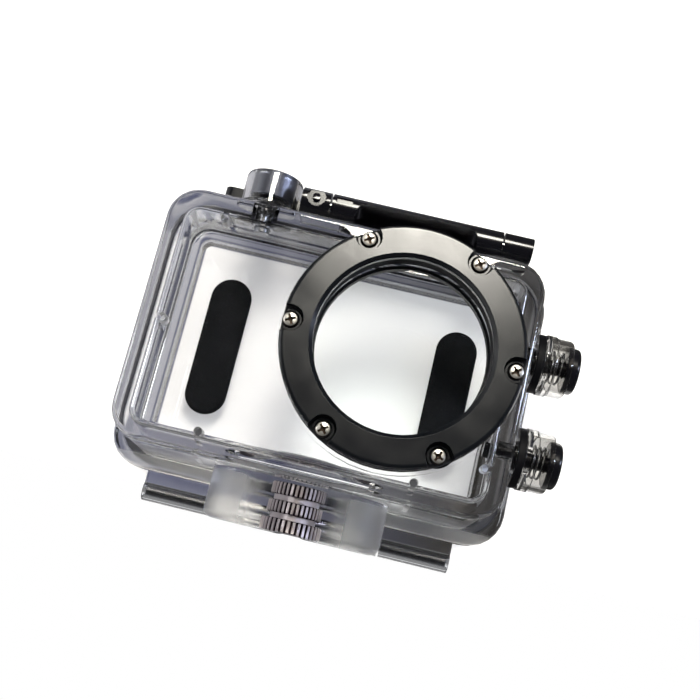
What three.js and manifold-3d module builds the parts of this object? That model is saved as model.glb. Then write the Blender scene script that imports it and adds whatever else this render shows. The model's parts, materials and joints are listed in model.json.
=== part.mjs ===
// Underwater housing for a small action camera: a clear case of two halves that lies on its back door.
// Millimetres. +X runs across the case, +Y towards the latch, +Z out through the lens.
// The origin is the centre of the door's flat outer face.

import * as THREE from 'three';
import { mergeVertices } from 'three/addons/utils/BufferGeometryUtils.js';
import Module from 'manifold-3d';

const wasm = await Module();
wasm.setup();

// Gaps
const fit = 0.3;
const sealGap = 0.15;
const runningGap = 0.2;
const overrun = 0.5;
const mergeDistance = 0.0001;

// Facets
const cornerSteps = 6;
const roundSteps = 3;
const largeSides = 60;
const mediumSides = 32;
const smallSides = 16;
const tubeSides = 6;
const postSides = 12;

// Case body
const rimWidth = 72;
const rimHeight = 48.4;
const caseDepth = 27;
const rimCorner = 6;
const wall = 3;
const lean = 1.2;
const frontRound = 1.1;
const cavityRound = 1.2;
const flangeReach = 2.4;
const flangeCorner = 7;
const flangeThickness = 2;
const flangeRound = 0.7;

// Camera ribs inside the walls
const ribThickness = 1;
const ribReach = 1.3;
const ribPostRadius = 0.8;
const ribStandoff = 4.2;
const topRibShares = [-0.77];
const bottomRibShares = [-0.6, 0.6];
const leftRibShares = [-0.05];
const rightRibShares = [0.635, -0.235, -0.68];

// Port, window and clamp ring
const portX = 12.4;
const portY = 2.2;
const portBossRadius = 22.5;
const portBossHeight = 1.6;
const portBoreRadius = 15.8;
const windowRadius = 18;
const windowThickness = 2.2;
const windowSeatDepth = 2.9;
const windowGasketHeight = 1;
const windowGasketWidth = 1.3;
const ringRadius = 21.9;
const ringBoreRadius = 15.9;
const ringHeight = 5;
const ringOuterRound = 0.9;
const ringInnerChamfer = 0.7;

// Ring screws
const screwCount = 6;
const screwCircleRadius = 20.35;
const screwHeadRadius = 1.4;
const screwHeadHeight = 1.1;
const screwHeadRound = 0.5;
const screwHeadDrop = 1;
const screwShankRadius = 0.8;
const screwShankLength = 5.4;
const screwHoleGap = 0.22;
const crossLength = 1.8;
const crossWidth = 0.42;
const crossDepth = 0.5;
const pocketRadius = 2.4;
const pocketRimGap = 0.25;
const pocketRimWidth = 0.35;
const pocketRimHeight = 0.7;
const pocketRimInset = 0.5;

// Door
const doorThickness = 4.2;
const doorFloor = 3;
const doorRound = 0.8;
const lipThickness = 1.8;
const lipRise = 3;
const grooveWidth = 2;
const grooveInset = 2.8;
const gasketWidth = 1.6;
const catchRise = 0.6;
const catchThickness = 1.7;
const catchBackZ = 2.2;
const catchMargin = 1.4;

// Foam pads
const padWidth = 8.4;
const padLength = 28.6;
const padThickness = 2;
const padSpread = 23.7;
const padDrop = 0.4;
const padRound = 0.6;

// Bottom hinge
const hingeBelowCase = 3.9;
const hingeRadius = 2.1;
const hingeLift = 0.1;
const hingePinRadius = 1;
const hingeHalfLength = 31.1;
const hingePinInset = 0.5;
const hingePlateThickness = 3;
const hingePlateInset = 0.8;

// Tripod block and its insert
const blockHalfWidth = 16.8;
const blockHeight = 9.9;
const blockHalfDepth = 6.8;
const blockZ = 15;
const blockRound = 1.6;
const insertRadius = 5.1;
const insertWaistRadius = 4.3;
const insertMouthRadius = 5.7;
const insertBand = 2.3;
const insertWaist = 1;
const insertRecess = 0.3;
const insertTeeth = 20;
const toothDepth = 0.42;
const tripodBoreRadius = 3.1;
const tripodBoreEnd = 1.2;
const domeHalfWidth = 15;
const domeHalfDepth = 7.2;
const domeRise = 1.9;
const domeShares = [
  [0.2, 0.38, 1],
  [0.38, 0.62, 0.9],
  [0.62, 0.82, 0.62],
  [0.84, 0.94, 0.25],
  [1, 1, -0.2],
];

// Latch on the top wall
const latchLeftX = -12.3;
const latchRightX = 32.1;
const bracketKnuckleWidth = 5.5;
const leverKnuckleWidth = 4.7;
const knuckleRadius = 2.5;
const knuckleLift = 0.36;
const pivotInset = 2.6;
const latchPinRadius = 0.9;
const latchPinCover = 0.5;
const latchPinSetback = 0.35;
const landLow = 9.5;
const landDrop = 6.1;
const landRise = 0.3;
const bracketThickness = 1.4;
const bracketMargin = 0.5;
const bracketStripDrop = 7.8;
const bracketEndInset = 0.3;
const pegRadius = 1;
const pegLength = 1.5;
const pegInsetShare = 0.2;
const leverThickness = 2.1;
const leverHookBulge = 0.5;
const leverBackZ = 0.45;
const leverEdge = 0.6;
const hookNoseDepth = 1.25;
const hookRecess = 1;
const hookClearance = 0.35;
const leverShoulder = 5.8;
const wingReach = 17.2;
const wingFrontDrop = 14;
const wingBackZ = 2.6;
const wingCorner = 1.6;
const wingRibs = 4;
const wingRibWidth = 0.8;
const wingRibRise = 0.35;
const wingRibSpacing = 2;
const troughRim = 1.2;
const troughCorner = 2.4;
const troughReach = 10;
const slotMargin = 0.8;
const slotOffset = 0.3;
const slotWidth = 1;
const slotDepth = 0.75;
const dimpleRadius = 1.8;
const dimplePegRadius = 0.75;
const dimpleOffset = 0.5;
const dimpleDepth = 0.8;

// Buttons
const buttonBossGrow = 0.15;
const buttonSealInset = 0.2;
const collarWall = 1.25;
const collarRound = 0.8;
const collarStepShare = 0.55;
const stemRadius = 1.5;
const stemReach = 1.9;
const stemSocket = 1.3;
const glandDepth = 1.2;
const glandRingRadius = 0.4;
const clipRadius = 2.3;
const clipThickness = 0.6;
const springWireRadius = 0.22;
const springSteps = 8;
const springSides = 5;
const topButtonX = -18.7;
const topButtonDrop = 6.6;
const topButtonRadius = 5.6;
const topSeatDrop = 1.1;
const topSealThickness = 0.5;
const topCollarFloor = 0.7;
const topButtonRise = 6.6;
const topButtonCapRise = 0.3;
const topButtonCapHeight = 1.6;
const topSpringRadius = 2.6;
const topSpringCurls = 4;
const topSkirtWall = 0.8;
const topSkirtDrop = 3.7;
const topSeatRise = 0.2;
const sideButtonZ = 14;
const sideButtonUpperShare = 0.18388;
const sideButtonLowerShare = -0.20455;
const sideButtonRadius = 6;
const sideSealThickness = 1.5;
const sideCollarFloor = 1;
const sideCollarStep = 0.25;
const sideButtonRise = 7.3;
const sideButtonCapRise = 1.6;
const sideButtonCapHeight = 2.7;
const sideSpringRadius = 3.1;
const sideSpringCurls = 3;
const sideSeatRise = 0.4;
const capRound = 0.5;

// Heights and places that follow from the sizes above
const seamZ = doorThickness + fit;
const back = outlineAt(seamZ);
const flange = { ...grown(back, flangeReach), corner: flangeCorner };
const cavityBack = grown(back, -wall);
const bossTopZ = caseDepth + portBossHeight;
const windowSeatZ = bossTopZ - windowSeatDepth;
const windowLowZ = windowSeatZ + windowGasketHeight + 2 * sealGap;
const windowHighZ = windowLowZ + windowThickness;
const ringLowZ = bossTopZ + fit;
const ringTopZ = ringLowZ + ringHeight;
const ringClampZ = windowHighZ + sealGap;
const pocketFloorZ = ringTopZ - screwHeadDrop - screwHeadHeight - sealGap;
const lipOuter = grown(cavityBack, -fit);
const lipInner = grown(lipOuter, -lipThickness);
const lipTopZ = doorThickness + lipRise;
const grooveInner = grown(lipOuter, grooveInset);
const grooveOuter = grown(grooveInner, grooveWidth);
const hingeY = -flange.halfY - hingeBelowCase;
const hingeZ = hingeRadius + hingeLift;
const blockBottomY = -rimHeight / 2 - blockHeight;
const doorKnuckleX = blockHalfWidth + fit + runningGap;
const pivotZ = caseDepth - pivotInset;
const landHigh = caseDepth - landDrop;
const wingFrontZ = caseDepth - wingFrontDrop;
const pivotY = outlineAt(pivotZ).halfY + knuckleLift + knuckleRadius;
const landTopY = outlineAt(landLow).halfY + landRise;
const bracketLowY = landTopY + fit;
const bracketHighY = bracketLowY + bracketThickness;
const leverLeftX = latchLeftX + bracketKnuckleWidth + fit;
const leverRightX = latchRightX - bracketKnuckleWidth - fit;
const catchCrestY = flange.halfY + catchRise;
const leverLowY = catchCrestY + hookClearance;
const leverHighY = leverLowY + leverThickness;
const sideSeatX = back.halfX + sideSeatRise;
const topButtonZ = caseDepth - topButtonDrop;
const topSeatY = outlineAt(topButtonZ - topButtonRadius).halfY + topSeatRise - topSeatDrop;
const glandRadius = stemRadius + 2 * (sealGap + glandRingRadius);

// Outlines: a rounded rectangle that leans out towards the back
function outlineAt(z) {
  const spread = lean * (caseDepth - z) / (caseDepth - doorThickness - fit);
  return {
    halfX: rimWidth / 2 + spread,
    halfY: rimHeight / 2 + spread,
    corner: rimCorner + spread,
  };
}

function grown(outline, distance) {
  return {
    halfX: outline.halfX + distance,
    halfY: outline.halfY + distance,
    corner: outline.corner + distance,
  };
}

function roundedBar(halfX, halfY) {
  return { halfX, halfY, corner: Math.min(halfX, halfY) };
}

function ringOf(outline, z) {
  const points = [];
  const corners = [[1, 1], [-1, 1], [-1, -1], [1, -1]];
  corners.forEach(([signX, signY], quarter) => {
    for (let step = 0; step <= cornerSteps; step += 1) {
      const angle = (quarter + step / cornerSteps) * Math.PI / 2;
      points.push(new THREE.Vector3(
        signX * (outline.halfX - outline.corner) + outline.corner * Math.cos(angle),
        signY * (outline.halfY - outline.corner) + outline.corner * Math.sin(angle),
        z,
      ));
    }
  });
  return points;
}

// Forms
function loft(rings) {
  const count = rings[0].length;
  const last = (rings.length - 1) * count;
  const points = rings.flat();
  const faces = [];
  for (let start = 0; start < last; start += count) {
    for (let i = 0; i < count; i += 1) {
      const a = start + i;
      const b = start + (i + 1) % count;
      faces.push(a, b, b + count, a, b + count, a + count);
    }
  }
  const lowCentre = points.length;
  points.push(middleOf(rings[0]));
  points.push(middleOf(rings[rings.length - 1]));
  for (let i = 0; i < count; i += 1) {
    const next = (i + 1) % count;
    faces.push(lowCentre, next, i);
    faces.push(lowCentre + 1, last + i, last + next);
  }
  return meshOf(points, faces);
}

function middleOf(ring) {
  const sum = ring.reduce((total, point) => total.add(point), new THREE.Vector3());
  return sum.divideScalar(ring.length);
}

function meshOf(points, faces) {
  const geometry = new THREE.BufferGeometry().setFromPoints(points);
  geometry.setIndex(faces);
  return geometry;
}

function prism(outline, lowZ, highZ) {
  return loft([ringOf(outline, lowZ), ringOf(outline, highZ)]);
}

// A prism whose low and high edges are rounded
function softPrism(outline, lowZ, highZ, lowRound, highRound) {
  const rings = [];
  for (let step = 0; step <= roundSteps && lowRound > 0; step += 1) {
    const angle = step / roundSteps * Math.PI / 2;
    const inset = lowRound * (1 - Math.sin(angle));
    rings.push(ringOf(grown(outline, -inset), lowZ + lowRound * (1 - Math.cos(angle))));
  }
  if (lowRound === 0) rings.push(ringOf(outline, lowZ));
  for (let step = 0; step <= roundSteps && highRound > 0; step += 1) {
    const angle = step / roundSteps * Math.PI / 2;
    const inset = highRound * (1 - Math.cos(angle));
    rings.push(ringOf(grown(outline, -inset), highZ - highRound * (1 - Math.sin(angle))));
  }
  if (highRound === 0) rings.push(ringOf(outline, highZ));
  return loft(rings);
}

function boxBetween(low, high) {
  const size = new THREE.Vector3().subVectors(high, low);
  const geometry = new THREE.BoxGeometry(size.x, size.y, size.z);
  const middle = new THREE.Vector3().addVectors(low, high).divideScalar(2);
  return geometry.translate(middle.x, middle.y, middle.z);
}

// A round form about +Z from a profile of radius and height
function turned(profile, sides) {
  const points = profile.map(([radius, height]) => new THREE.Vector2(radius, height));
  return new THREE.LatheGeometry(points, sides).rotateX(Math.PI / 2);
}

function disc(radius, lowZ, highZ, sides) {
  return turned([[0, lowZ], [radius, lowZ], [radius, highZ], [0, highZ]], sides);
}

function washer(innerRadius, outerRadius, lowZ, highZ, sides) {
  return turned([
    [innerRadius, lowZ],
    [outerRadius, lowZ],
    [outerRadius, highZ],
    [innerRadius, highZ],
    [innerRadius, lowZ],
  ], sides);
}

function torus(radius, tubeRadius, z, sides) {
  return new THREE.TorusGeometry(radius, tubeRadius, tubeSides, sides).translate(0, 0, z);
}

// An upright form drawn in Y and Z and drawn out along X
const alongX = new THREE.Matrix4().makeBasis(
  new THREE.Vector3(0, 1, 0),
  new THREE.Vector3(0, 0, 1),
  new THREE.Vector3(1, 0, 0),
);

// A frame whose +Z points along the world's +Y
const alongY = new THREE.Matrix4().makeBasis(
  new THREE.Vector3(0, 0, 1),
  new THREE.Vector3(1, 0, 0),
  new THREE.Vector3(0, 1, 0),
);

// A frame whose +Z points down along the world's -Y and whose +Y is the world's +Z
const downY = new THREE.Matrix4().makeBasis(
  new THREE.Vector3(1, 0, 0),
  new THREE.Vector3(0, 0, 1),
  new THREE.Vector3(0, -1, 0),
);

function drawnAlongX(shape, lowX, highX) {
  const settings = { depth: highX - lowX, bevelEnabled: false, curveSegments: smallSides / 2 };
  return new THREE.ExtrudeGeometry(shape, settings).translate(0, 0, lowX).applyMatrix4(alongX);
}

function rodAlongX(radius, y, z, lowX, highX, sides) {
  const rod = disc(radius, lowX, highX, sides).applyMatrix4(alongX);
  return rod.translate(0, y, z);
}

// Booleans
function solidOf(form) {
  if (!form.isBufferGeometry) return form;
  const bare = form.clone();
  bare.deleteAttribute('normal');
  bare.deleteAttribute('uv');
  const merged = mergeVertices(bare, mergeDistance);
  const places = merged.getAttribute('position').array;
  const index = merged.getIndex().array;
  const corners = [];
  for (let i = 0; i < index.length; i += 3) {
    const [a, b, c] = [index[i], index[i + 1], index[i + 2]];
    if (a !== b && b !== c && c !== a) corners.push(a, b, c);
  }
  if (volumeOf(places, corners) < 0) corners.reverse();
  return new wasm.Manifold(new wasm.Mesh({
    numProp: 3,
    vertProperties: new Float32Array(places),
    triVerts: new Uint32Array(corners),
  }));
}

function volumeOf(places, corners) {
  const point = (i) => new THREE.Vector3(places[3 * i], places[3 * i + 1], places[3 * i + 2]);
  let volume = 0;
  for (let i = 0; i < corners.length; i += 3) {
    const cross = point(corners[i + 1]).cross(point(corners[i + 2]));
    volume += point(corners[i]).dot(cross) / 6;
  }
  return volume;
}

function join(...forms) {
  return forms.map(solidOf).reduce((sum, next) => sum.add(next));
}

function cut(form, ...tools) {
  return tools.map(solidOf).reduce((rest, tool) => rest.subtract(tool), solidOf(form));
}

function common(form, other) {
  return solidOf(form).intersect(solidOf(other));
}

function geometryOf(form) {
  const mesh = solidOf(form).getMesh();
  const geometry = new THREE.BufferGeometry();
  geometry.setAttribute('position', new THREE.BufferAttribute(mesh.vertProperties, 3));
  geometry.setIndex(new THREE.BufferAttribute(mesh.triVerts, 1));
  return geometry;
}

// Materials
function material(color, roughness, metalness, opacity = 1) {
  const settings = { color, roughness, metalness, opacity, transparent: opacity < 1 };
  return new THREE.MeshStandardMaterial({ ...settings, flatShading: true });
}

const clearPlastic = material(0xdfe6ec, 0.05, 0, 0.4);
const glass = material(0xe8f0f2, 0.02, 0, 0.3);
const satinBlack = material(0x1c1d1f, 0.45, 0);
const glossBlack = material(0x101114, 0.18, 0);
const blackRubber = material(0x17181a, 0.8, 0);
const silicone = material(0x2b2d35, 0.5, 0);
const foam = material(0x202126, 0.9, 0);
const steel = material(0xb9bcc0, 0.25, 1);
const darkSteel = material(0x4a4d55, 0.2, 1);
const nickelBrass = material(0xa8a29a, 0.3, 1);

// Buttons: where each one stands and its own sizes, in a frame whose +Z points out of the case
const sideWallDepth = sideSeatX - outlineAt(sideButtonZ).halfX + wall;
const topWallDepth = topSeatY - outlineAt(topButtonZ).halfY + wall;

function sideButton(name, y) {
  return {
    name,
    frame: new THREE.Matrix4().makeTranslation(sideSeatX, y, sideButtonZ).multiply(alongX),
    wallDepth: sideWallDepth,
    collarLow: sideSealThickness + 2 * sealGap,
    floorTop: sideSealThickness + 2 * sealGap + sideCollarFloor,
    radius: sideButtonRadius,
    rise: sideButtonRise,
    capTop: sideButtonRise + sideButtonCapRise,
    capLow: sideButtonRise + sideButtonCapRise - sideButtonCapHeight,
    skirtDrop: 0,
    springRadius: sideSpringRadius,
    springCurls: sideSpringCurls,
    collarStep: sideCollarStep,
    seatDrop: 0,
    capMaterial: satinBlack,
    stemMaterial: satinBlack,
  };
}

const topButton = {
  name: 'shutter',
  frame: new THREE.Matrix4().makeTranslation(topButtonX, topSeatY, topButtonZ).multiply(alongY),
  wallDepth: topWallDepth,
  collarLow: topSealThickness + 2 * sealGap,
  floorTop: topSealThickness + 2 * sealGap + topCollarFloor,
  radius: topButtonRadius,
  rise: topSeatDrop + topButtonRise,
  capTop: topSeatDrop + topButtonRise + topButtonCapRise,
  capLow: topSeatDrop + topButtonRise + topButtonCapRise - topButtonCapHeight,
  skirtDrop: topSkirtDrop,
  springRadius: topSpringRadius,
  springCurls: topSpringCurls,
  collarStep: 0,
  seatDrop: topSeatDrop,
  capMaterial: darkSteel,
  stemMaterial: steel,
};

const buttons = [
  topButton,
  sideButton('upper_side', rimHeight * sideButtonUpperShare),
  sideButton('lower_side', rimHeight * sideButtonLowerShare),
];

function buttonCollar(button) {
  const boreRadius = button.radius - collarWall;
  const stepRise = button.rise * collarStepShare;
  const outerRadius = button.radius - button.collarStep;
  const shoulder = collarRound * (1 - Math.SQRT1_2);
  const profile = [
    [stemRadius + runningGap, button.floorTop],
    [boreRadius, button.floorTop],
    [boreRadius, button.rise],
    [outerRadius - collarRound, button.rise],
    [outerRadius - shoulder, button.rise - shoulder],
    [outerRadius, button.rise - collarRound],
    [outerRadius, stepRise],
    [button.radius, stepRise - button.collarStep],
    [button.radius, button.collarLow],
    [stemRadius + runningGap, button.collarLow],
    [stemRadius + runningGap, button.floorTop],
  ];
  return solidOf(turned(profile, mediumSides));
}

function buttonSeal(button) {
  const outerRadius = button.radius - buttonSealInset;
  return solidOf(washer(glandRadius, outerRadius, sealGap, button.collarLow - sealGap, mediumSides));
}

function buttonStem(button) {
  const low = -button.wallDepth - stemReach;
  return solidOf(disc(stemRadius, low, button.capLow + stemSocket - sealGap, smallSides));
}

function buttonCap(button) {
  const radius = button.radius - collarWall - runningGap;
  const socketEnd = button.capLow + stemSocket;
  const socket = disc(stemRadius + sealGap, button.capLow - overrun, socketEnd, smallSides);
  const body = turned([
    [0, button.capLow],
    [radius, button.capLow],
    [radius, button.capTop - capRound],
    [radius - capRound, button.capTop],
    [0, button.capTop],
  ], mediumSides);
  if (button.skirtDrop === 0) return cut(body, socket);
  const skirtLow = button.capLow - button.skirtDrop;
  const skirt = washer(radius - topSkirtWall, radius, skirtLow, button.capLow + topSkirtWall, mediumSides);
  return cut(join(body, skirt), socket);
}

function buttonClip(button) {
  const high = -button.wallDepth - fit;
  return solidOf(washer(stemRadius + sealGap, clipRadius, high - clipThickness, high, smallSides));
}

function buttonGlandRing(button) {
  const z = sealGap + glandRingRadius - glandDepth;
  const radius = (stemRadius + glandRadius) / 2;
  return solidOf(torus(radius, glandRingRadius, z, smallSides));
}

// A coil spring as one unbroken tube
function springLine(radius, curls, low, high) {
  const count = curls * springSteps;
  const points = [];
  for (let step = 0; step <= count; step += 1) {
    const angle = 2 * Math.PI * step / springSteps;
    const z = low + (high - low) * step / count;
    points.push(new THREE.Vector3(radius * Math.cos(angle), radius * Math.sin(angle), z));
  }
  return points;
}

function springTube(line) {
  const points = [];
  const faces = [];
  line.forEach((centre) => {
    const outward = new THREE.Vector3(centre.x, centre.y, 0).normalize();
    for (let side = 0; side < springSides; side += 1) {
      const angle = 2 * Math.PI * side / springSides;
      const point = centre.clone().addScaledVector(outward, springWireRadius * Math.cos(angle));
      point.z += springWireRadius * Math.sin(angle);
      points.push(point);
    }
  });
  for (let step = 0; step < line.length - 1; step += 1) {
    for (let side = 0; side < springSides; side += 1) {
      const a = step * springSides + side;
      const b = step * springSides + (side + 1) % springSides;
      faces.push(a, b, b + springSides, a, b + springSides, a + springSides);
    }
  }
  const end = (line.length - 1) * springSides;
  for (let side = 1; side < springSides - 1; side += 1) {
    faces.push(0, side + 1, side);
    faces.push(end, end + side, end + side + 1);
  }
  return meshOf(points, faces);
}

function leastGap(line) {
  let least = Infinity;
  line.forEach((point, i) => {
    line.slice(i + springSteps / 2).forEach((other) => {
      least = Math.min(least, point.distanceTo(other) - 2 * springWireRadius);
    });
  });
  return least;
}

function buttonSpring(button) {
  const low = button.floorTop + sealGap + springWireRadius;
  const high = button.capLow - sealGap - springWireRadius;
  const line = springLine(button.springRadius, button.springCurls, low, high);
  console.log(`${button.name} spring, least gap to itself: ${leastGap(line).toFixed(2)} mm`);
  return solidOf(springTube(line));
}

// Front shell
function shellBody() {
  const shoulder = outlineAt(caseDepth - frontRound);
  const rings = [ringOf(back, seamZ)];
  for (let step = 0; step <= roundSteps; step += 1) {
    const angle = step / roundSteps * Math.PI / 2;
    const inset = frontRound * (1 - Math.cos(angle));
    rings.push(ringOf(grown(shoulder, -inset), caseDepth - frontRound * (1 - Math.sin(angle))));
  }
  return loft(rings);
}

function shellCavity() {
  const roofZ = caseDepth - wall;
  const shoulder = grown(outlineAt(roofZ - cavityRound), -wall);
  const rings = [ringOf(grown(outlineAt(seamZ - overrun), -wall), seamZ - overrun)];
  for (let step = 0; step <= roundSteps; step += 1) {
    const angle = step / roundSteps * Math.PI / 2;
    const inset = cavityRound * (1 - Math.cos(angle));
    rings.push(ringOf(grown(shoulder, -inset), roofZ - cavityRound * (1 - Math.sin(angle))));
  }
  return loft(rings);
}

function portBoss() {
  const boss = disc(portBossRadius, caseDepth - wall, bossTopZ, largeSides).translate(portX, portY, 0);
  const limit = prism(outlineAt(caseDepth), caseDepth - wall, bossTopZ + overrun);
  return common(boss, limit);
}

function screwPlaces() {
  const places = [];
  for (let i = 0; i < screwCount; i += 1) {
    const angle = 2 * Math.PI * i / screwCount;
    places.push({
      angle,
      x: portX + screwCircleRadius * Math.cos(angle),
      y: portY + screwCircleRadius * Math.sin(angle),
    });
  }
  return places;
}

function portCuts() {
  const bore = disc(portBoreRadius, caseDepth - wall - overrun, bossTopZ + overrun, largeSides);
  const seat = disc(windowRadius + fit, windowSeatZ, bossTopZ + overrun, largeSides);
  const holeLow = pocketFloorZ + sealGap - screwShankLength - fit;
  const hole = disc(screwShankRadius + screwHoleGap, holeLow, bossTopZ + overrun, smallSides);
  const holes = screwPlaces().map(({ x, y }) => hole.clone().translate(x, y, 0));
  return [bore.translate(portX, portY, 0), seat.translate(portX, portY, 0), ...holes];
}

function buttonBosses() {
  return buttons.map((button) => {
    const boss = disc(button.radius + buttonBossGrow, -button.wallDepth + wall / 2, 0, mediumSides);
    return boss.applyMatrix4(button.frame);
  });
}

// A hole for the stem, a gland for its O-ring and, for the top button, a sunk seat
function buttonHoles() {
  return buttons.map((button) => {
    const low = -button.wallDepth - wall;
    const hole = disc(stemRadius + runningGap, low, overrun, mediumSides);
    const gland = disc(glandRadius, -glandDepth, overrun, mediumSides);
    const seat = disc(button.radius + sealGap, 0, button.seatDrop + overrun, mediumSides);
    return join(hole, gland, seat).transform(button.frame.toArray());
  });
}

// Each rib runs from the roof of the cavity down a side wall and ends in a round post
function cameraRib(wallX, wallY, inwardX, inwardY) {
  const low = seamZ + ribStandoff;
  const high = caseDepth - wall / 2;
  const tipX = wallX + inwardX * ribReach;
  const tipY = wallY + inwardY * ribReach;
  const rootX = wallX - inwardX * wall / 2;
  const rootY = wallY - inwardY * wall / 2;
  const half = ribThickness / 2;
  const sideX = Math.abs(inwardY) * half;
  const sideY = Math.abs(inwardX) * half;
  const web = boxBetween(
    new THREE.Vector3(Math.min(tipX, rootX) - sideX, Math.min(tipY, rootY) - sideY, low),
    new THREE.Vector3(Math.max(tipX, rootX) + sideX, Math.max(tipY, rootY) + sideY, high),
  );
  return join(web, disc(ribPostRadius, low, high, postSides).translate(tipX, tipY, 0));
}

function cameraRibs() {
  const inner = grown(outlineAt(caseDepth - wall), -wall);
  return [
    ...leftRibShares.map((share) => cameraRib(-inner.halfX, inner.halfY * share, 1, 0)),
    ...rightRibShares.map((share) => cameraRib(inner.halfX, inner.halfY * share, -1, 0)),
    ...topRibShares.map((share) => cameraRib(inner.halfX * share, inner.halfY, 0, -1)),
    ...bottomRibShares.map((share) => cameraRib(inner.halfX * share, -inner.halfY, 0, 1)),
  ];
}

// The block hangs below the bottom wall and its middle swells into a dome inside the case
function tripodBlock() {
  const outline = roundedBar(blockHalfWidth, blockHalfDepth);
  const block = softPrism(outline, rimHeight / 2 - wall / 2, -blockBottomY, 0, blockRound);
  const floor = rimHeight / 2 - wall;
  const domeRings = domeShares.map(([widthShare, depthShare, riseShare]) => {
    const swell = roundedBar(domeHalfWidth * widthShare, domeHalfDepth * depthShare);
    return ringOf(swell, floor - domeRise * riseShare);
  });
  domeRings.push(ringOf(roundedBar(domeHalfWidth, domeHalfDepth), rimHeight / 2));
  const dome = loft(domeRings);
  return [block, dome].map((form) => form.applyMatrix4(downY).translate(0, 0, blockZ));
}

function insertCavity() {
  const mouthLow = -blockBottomY - insertBand - insertRecess - sealGap;
  const low = insertInnerEnd() - sealGap;
  const body = disc(insertRadius + sealGap, low, -blockBottomY, mediumSides);
  const mouth = disc(insertMouthRadius + sealGap, mouthLow, -blockBottomY + overrun, mediumSides);
  return [body, mouth].map((form) => form.applyMatrix4(downY).translate(0, 0, blockZ));
}

function insertInnerEnd() {
  return -blockBottomY - insertRecess - 3 * insertBand - 2 * insertWaist;
}

function shellKnuckle() {
  const barrel = rodAlongX(hingeRadius, hingeY, hingeZ, -blockHalfWidth, blockHalfWidth, smallSides);
  const webHalf = blockHalfWidth - blockHalfDepth / 2;
  const web = boxBetween(
    new THREE.Vector3(-webHalf, hingeY - hingeRadius, hingeZ),
    new THREE.Vector3(webHalf, hingeY + hingeRadius, blockZ),
  );
  return [barrel, web];
}

function latchLand() {
  return boxBetween(
    new THREE.Vector3(latchLeftX, rimHeight / 2 - wall / 2, landLow),
    new THREE.Vector3(latchRightX, landTopY, landHigh),
  );
}

function bracketPegXs() {
  const length = latchRightX - latchLeftX;
  return [latchLeftX + length * pegInsetShare, latchRightX - length * pegInsetShare];
}

function pegAt(x, radius, lowY, highY) {
  const peg = disc(radius, lowY, highY, smallSides).applyMatrix4(alongY);
  return peg.translate(x, 0, (landLow + landHigh) / 2);
}

function frontShell() {
  const flangeForm = softPrism(flange, seamZ, seamZ + flangeThickness, 0, flangeRound);
  const body = join(shellBody(), flangeForm, portBoss(), latchLand());
  const outside = join(body, ...buttonBosses(), ...tripodBlock(), ...shellKnuckle());
  const hollow = cut(outside, cavityWithoutBlock());
  const ribbed = join(hollow, ...cameraRibs());
  const pegHoles = bracketPegXs().map((x) => (
    pegAt(x, pegRadius + runningGap, bracketLowY - pegLength - fit, landTopY + overrun)
  ));
  const boreEnd = blockHalfWidth + overrun;
  const pinBore = rodAlongX(hingePinRadius + runningGap, hingeY, hingeZ, -boreEnd, boreEnd, smallSides);
  return cut(ribbed, ...portCuts(), ...buttonHoles(), ...insertCavity(), ...pegHoles, pinBore);
}

// The hollow for the camera, with the dome left standing in it
function cavityWithoutBlock() {
  return cut(shellCavity(), ...tripodBlock());
}

// Knurled insert for a tripod screw, in a frame that points down out of the block
function toothedDisc(radius, lowZ, highZ) {
  const shape = new THREE.Shape();
  for (let i = 0; i < 2 * insertTeeth; i += 1) {
    const angle = Math.PI * i / insertTeeth;
    const reach = i % 2 === 0 ? radius : radius - toothDepth;
    const place = new THREE.Vector2(reach * Math.cos(angle), reach * Math.sin(angle));
    if (i === 0) shape.moveTo(place.x, place.y);
    else shape.lineTo(place.x, place.y);
  }
  const settings = { depth: highZ - lowZ, bevelEnabled: false };
  return new THREE.ExtrudeGeometry(shape, settings).translate(0, 0, lowZ);
}

function tripodInsert() {
  const low = insertInnerEnd();
  const high = -blockBottomY - insertRecess;
  const step = insertBand + insertWaist;
  const bands = [0, 1, 2].map((i) => {
    const radius = i === 2 ? insertMouthRadius : insertRadius;
    return toothedDisc(radius, low + i * step, low + i * step + insertBand);
  });
  const core = disc(insertWaistRadius, low, high, mediumSides);
  const bore = disc(tripodBoreRadius, low + tripodBoreEnd, high + overrun, mediumSides);
  return cut(join(core, ...bands), bore);
}

// Window, its O-ring and the clamp ring
function lensWindow() {
  return solidOf(disc(windowRadius, windowLowZ, windowHighZ, largeSides));
}

function lensGasket() {
  const outerRadius = windowRadius;
  const innerRadius = outerRadius - windowGasketWidth;
  const low = windowSeatZ + sealGap;
  return solidOf(washer(innerRadius, outerRadius, low, low + windowGasketHeight, largeSides));
}

// A low rim stands around each screw head on the pocket's floor, open towards the ring's edge
function pocketRims() {
  const inner = screwHeadRadius + pocketRimGap;
  const high = pocketFloorZ + pocketRimHeight;
  const rims = screwPlaces().map(({ angle }) => {
    const rim = washer(inner, inner + pocketRimWidth, pocketFloorZ - overrun, high, smallSides);
    return rim.translate(screwCircleRadius, 0, 0).rotateZ(angle);
  });
  return common(join(...rims), disc(ringRadius - pocketRimInset, ringLowZ, ringTopZ, largeSides));
}

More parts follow.
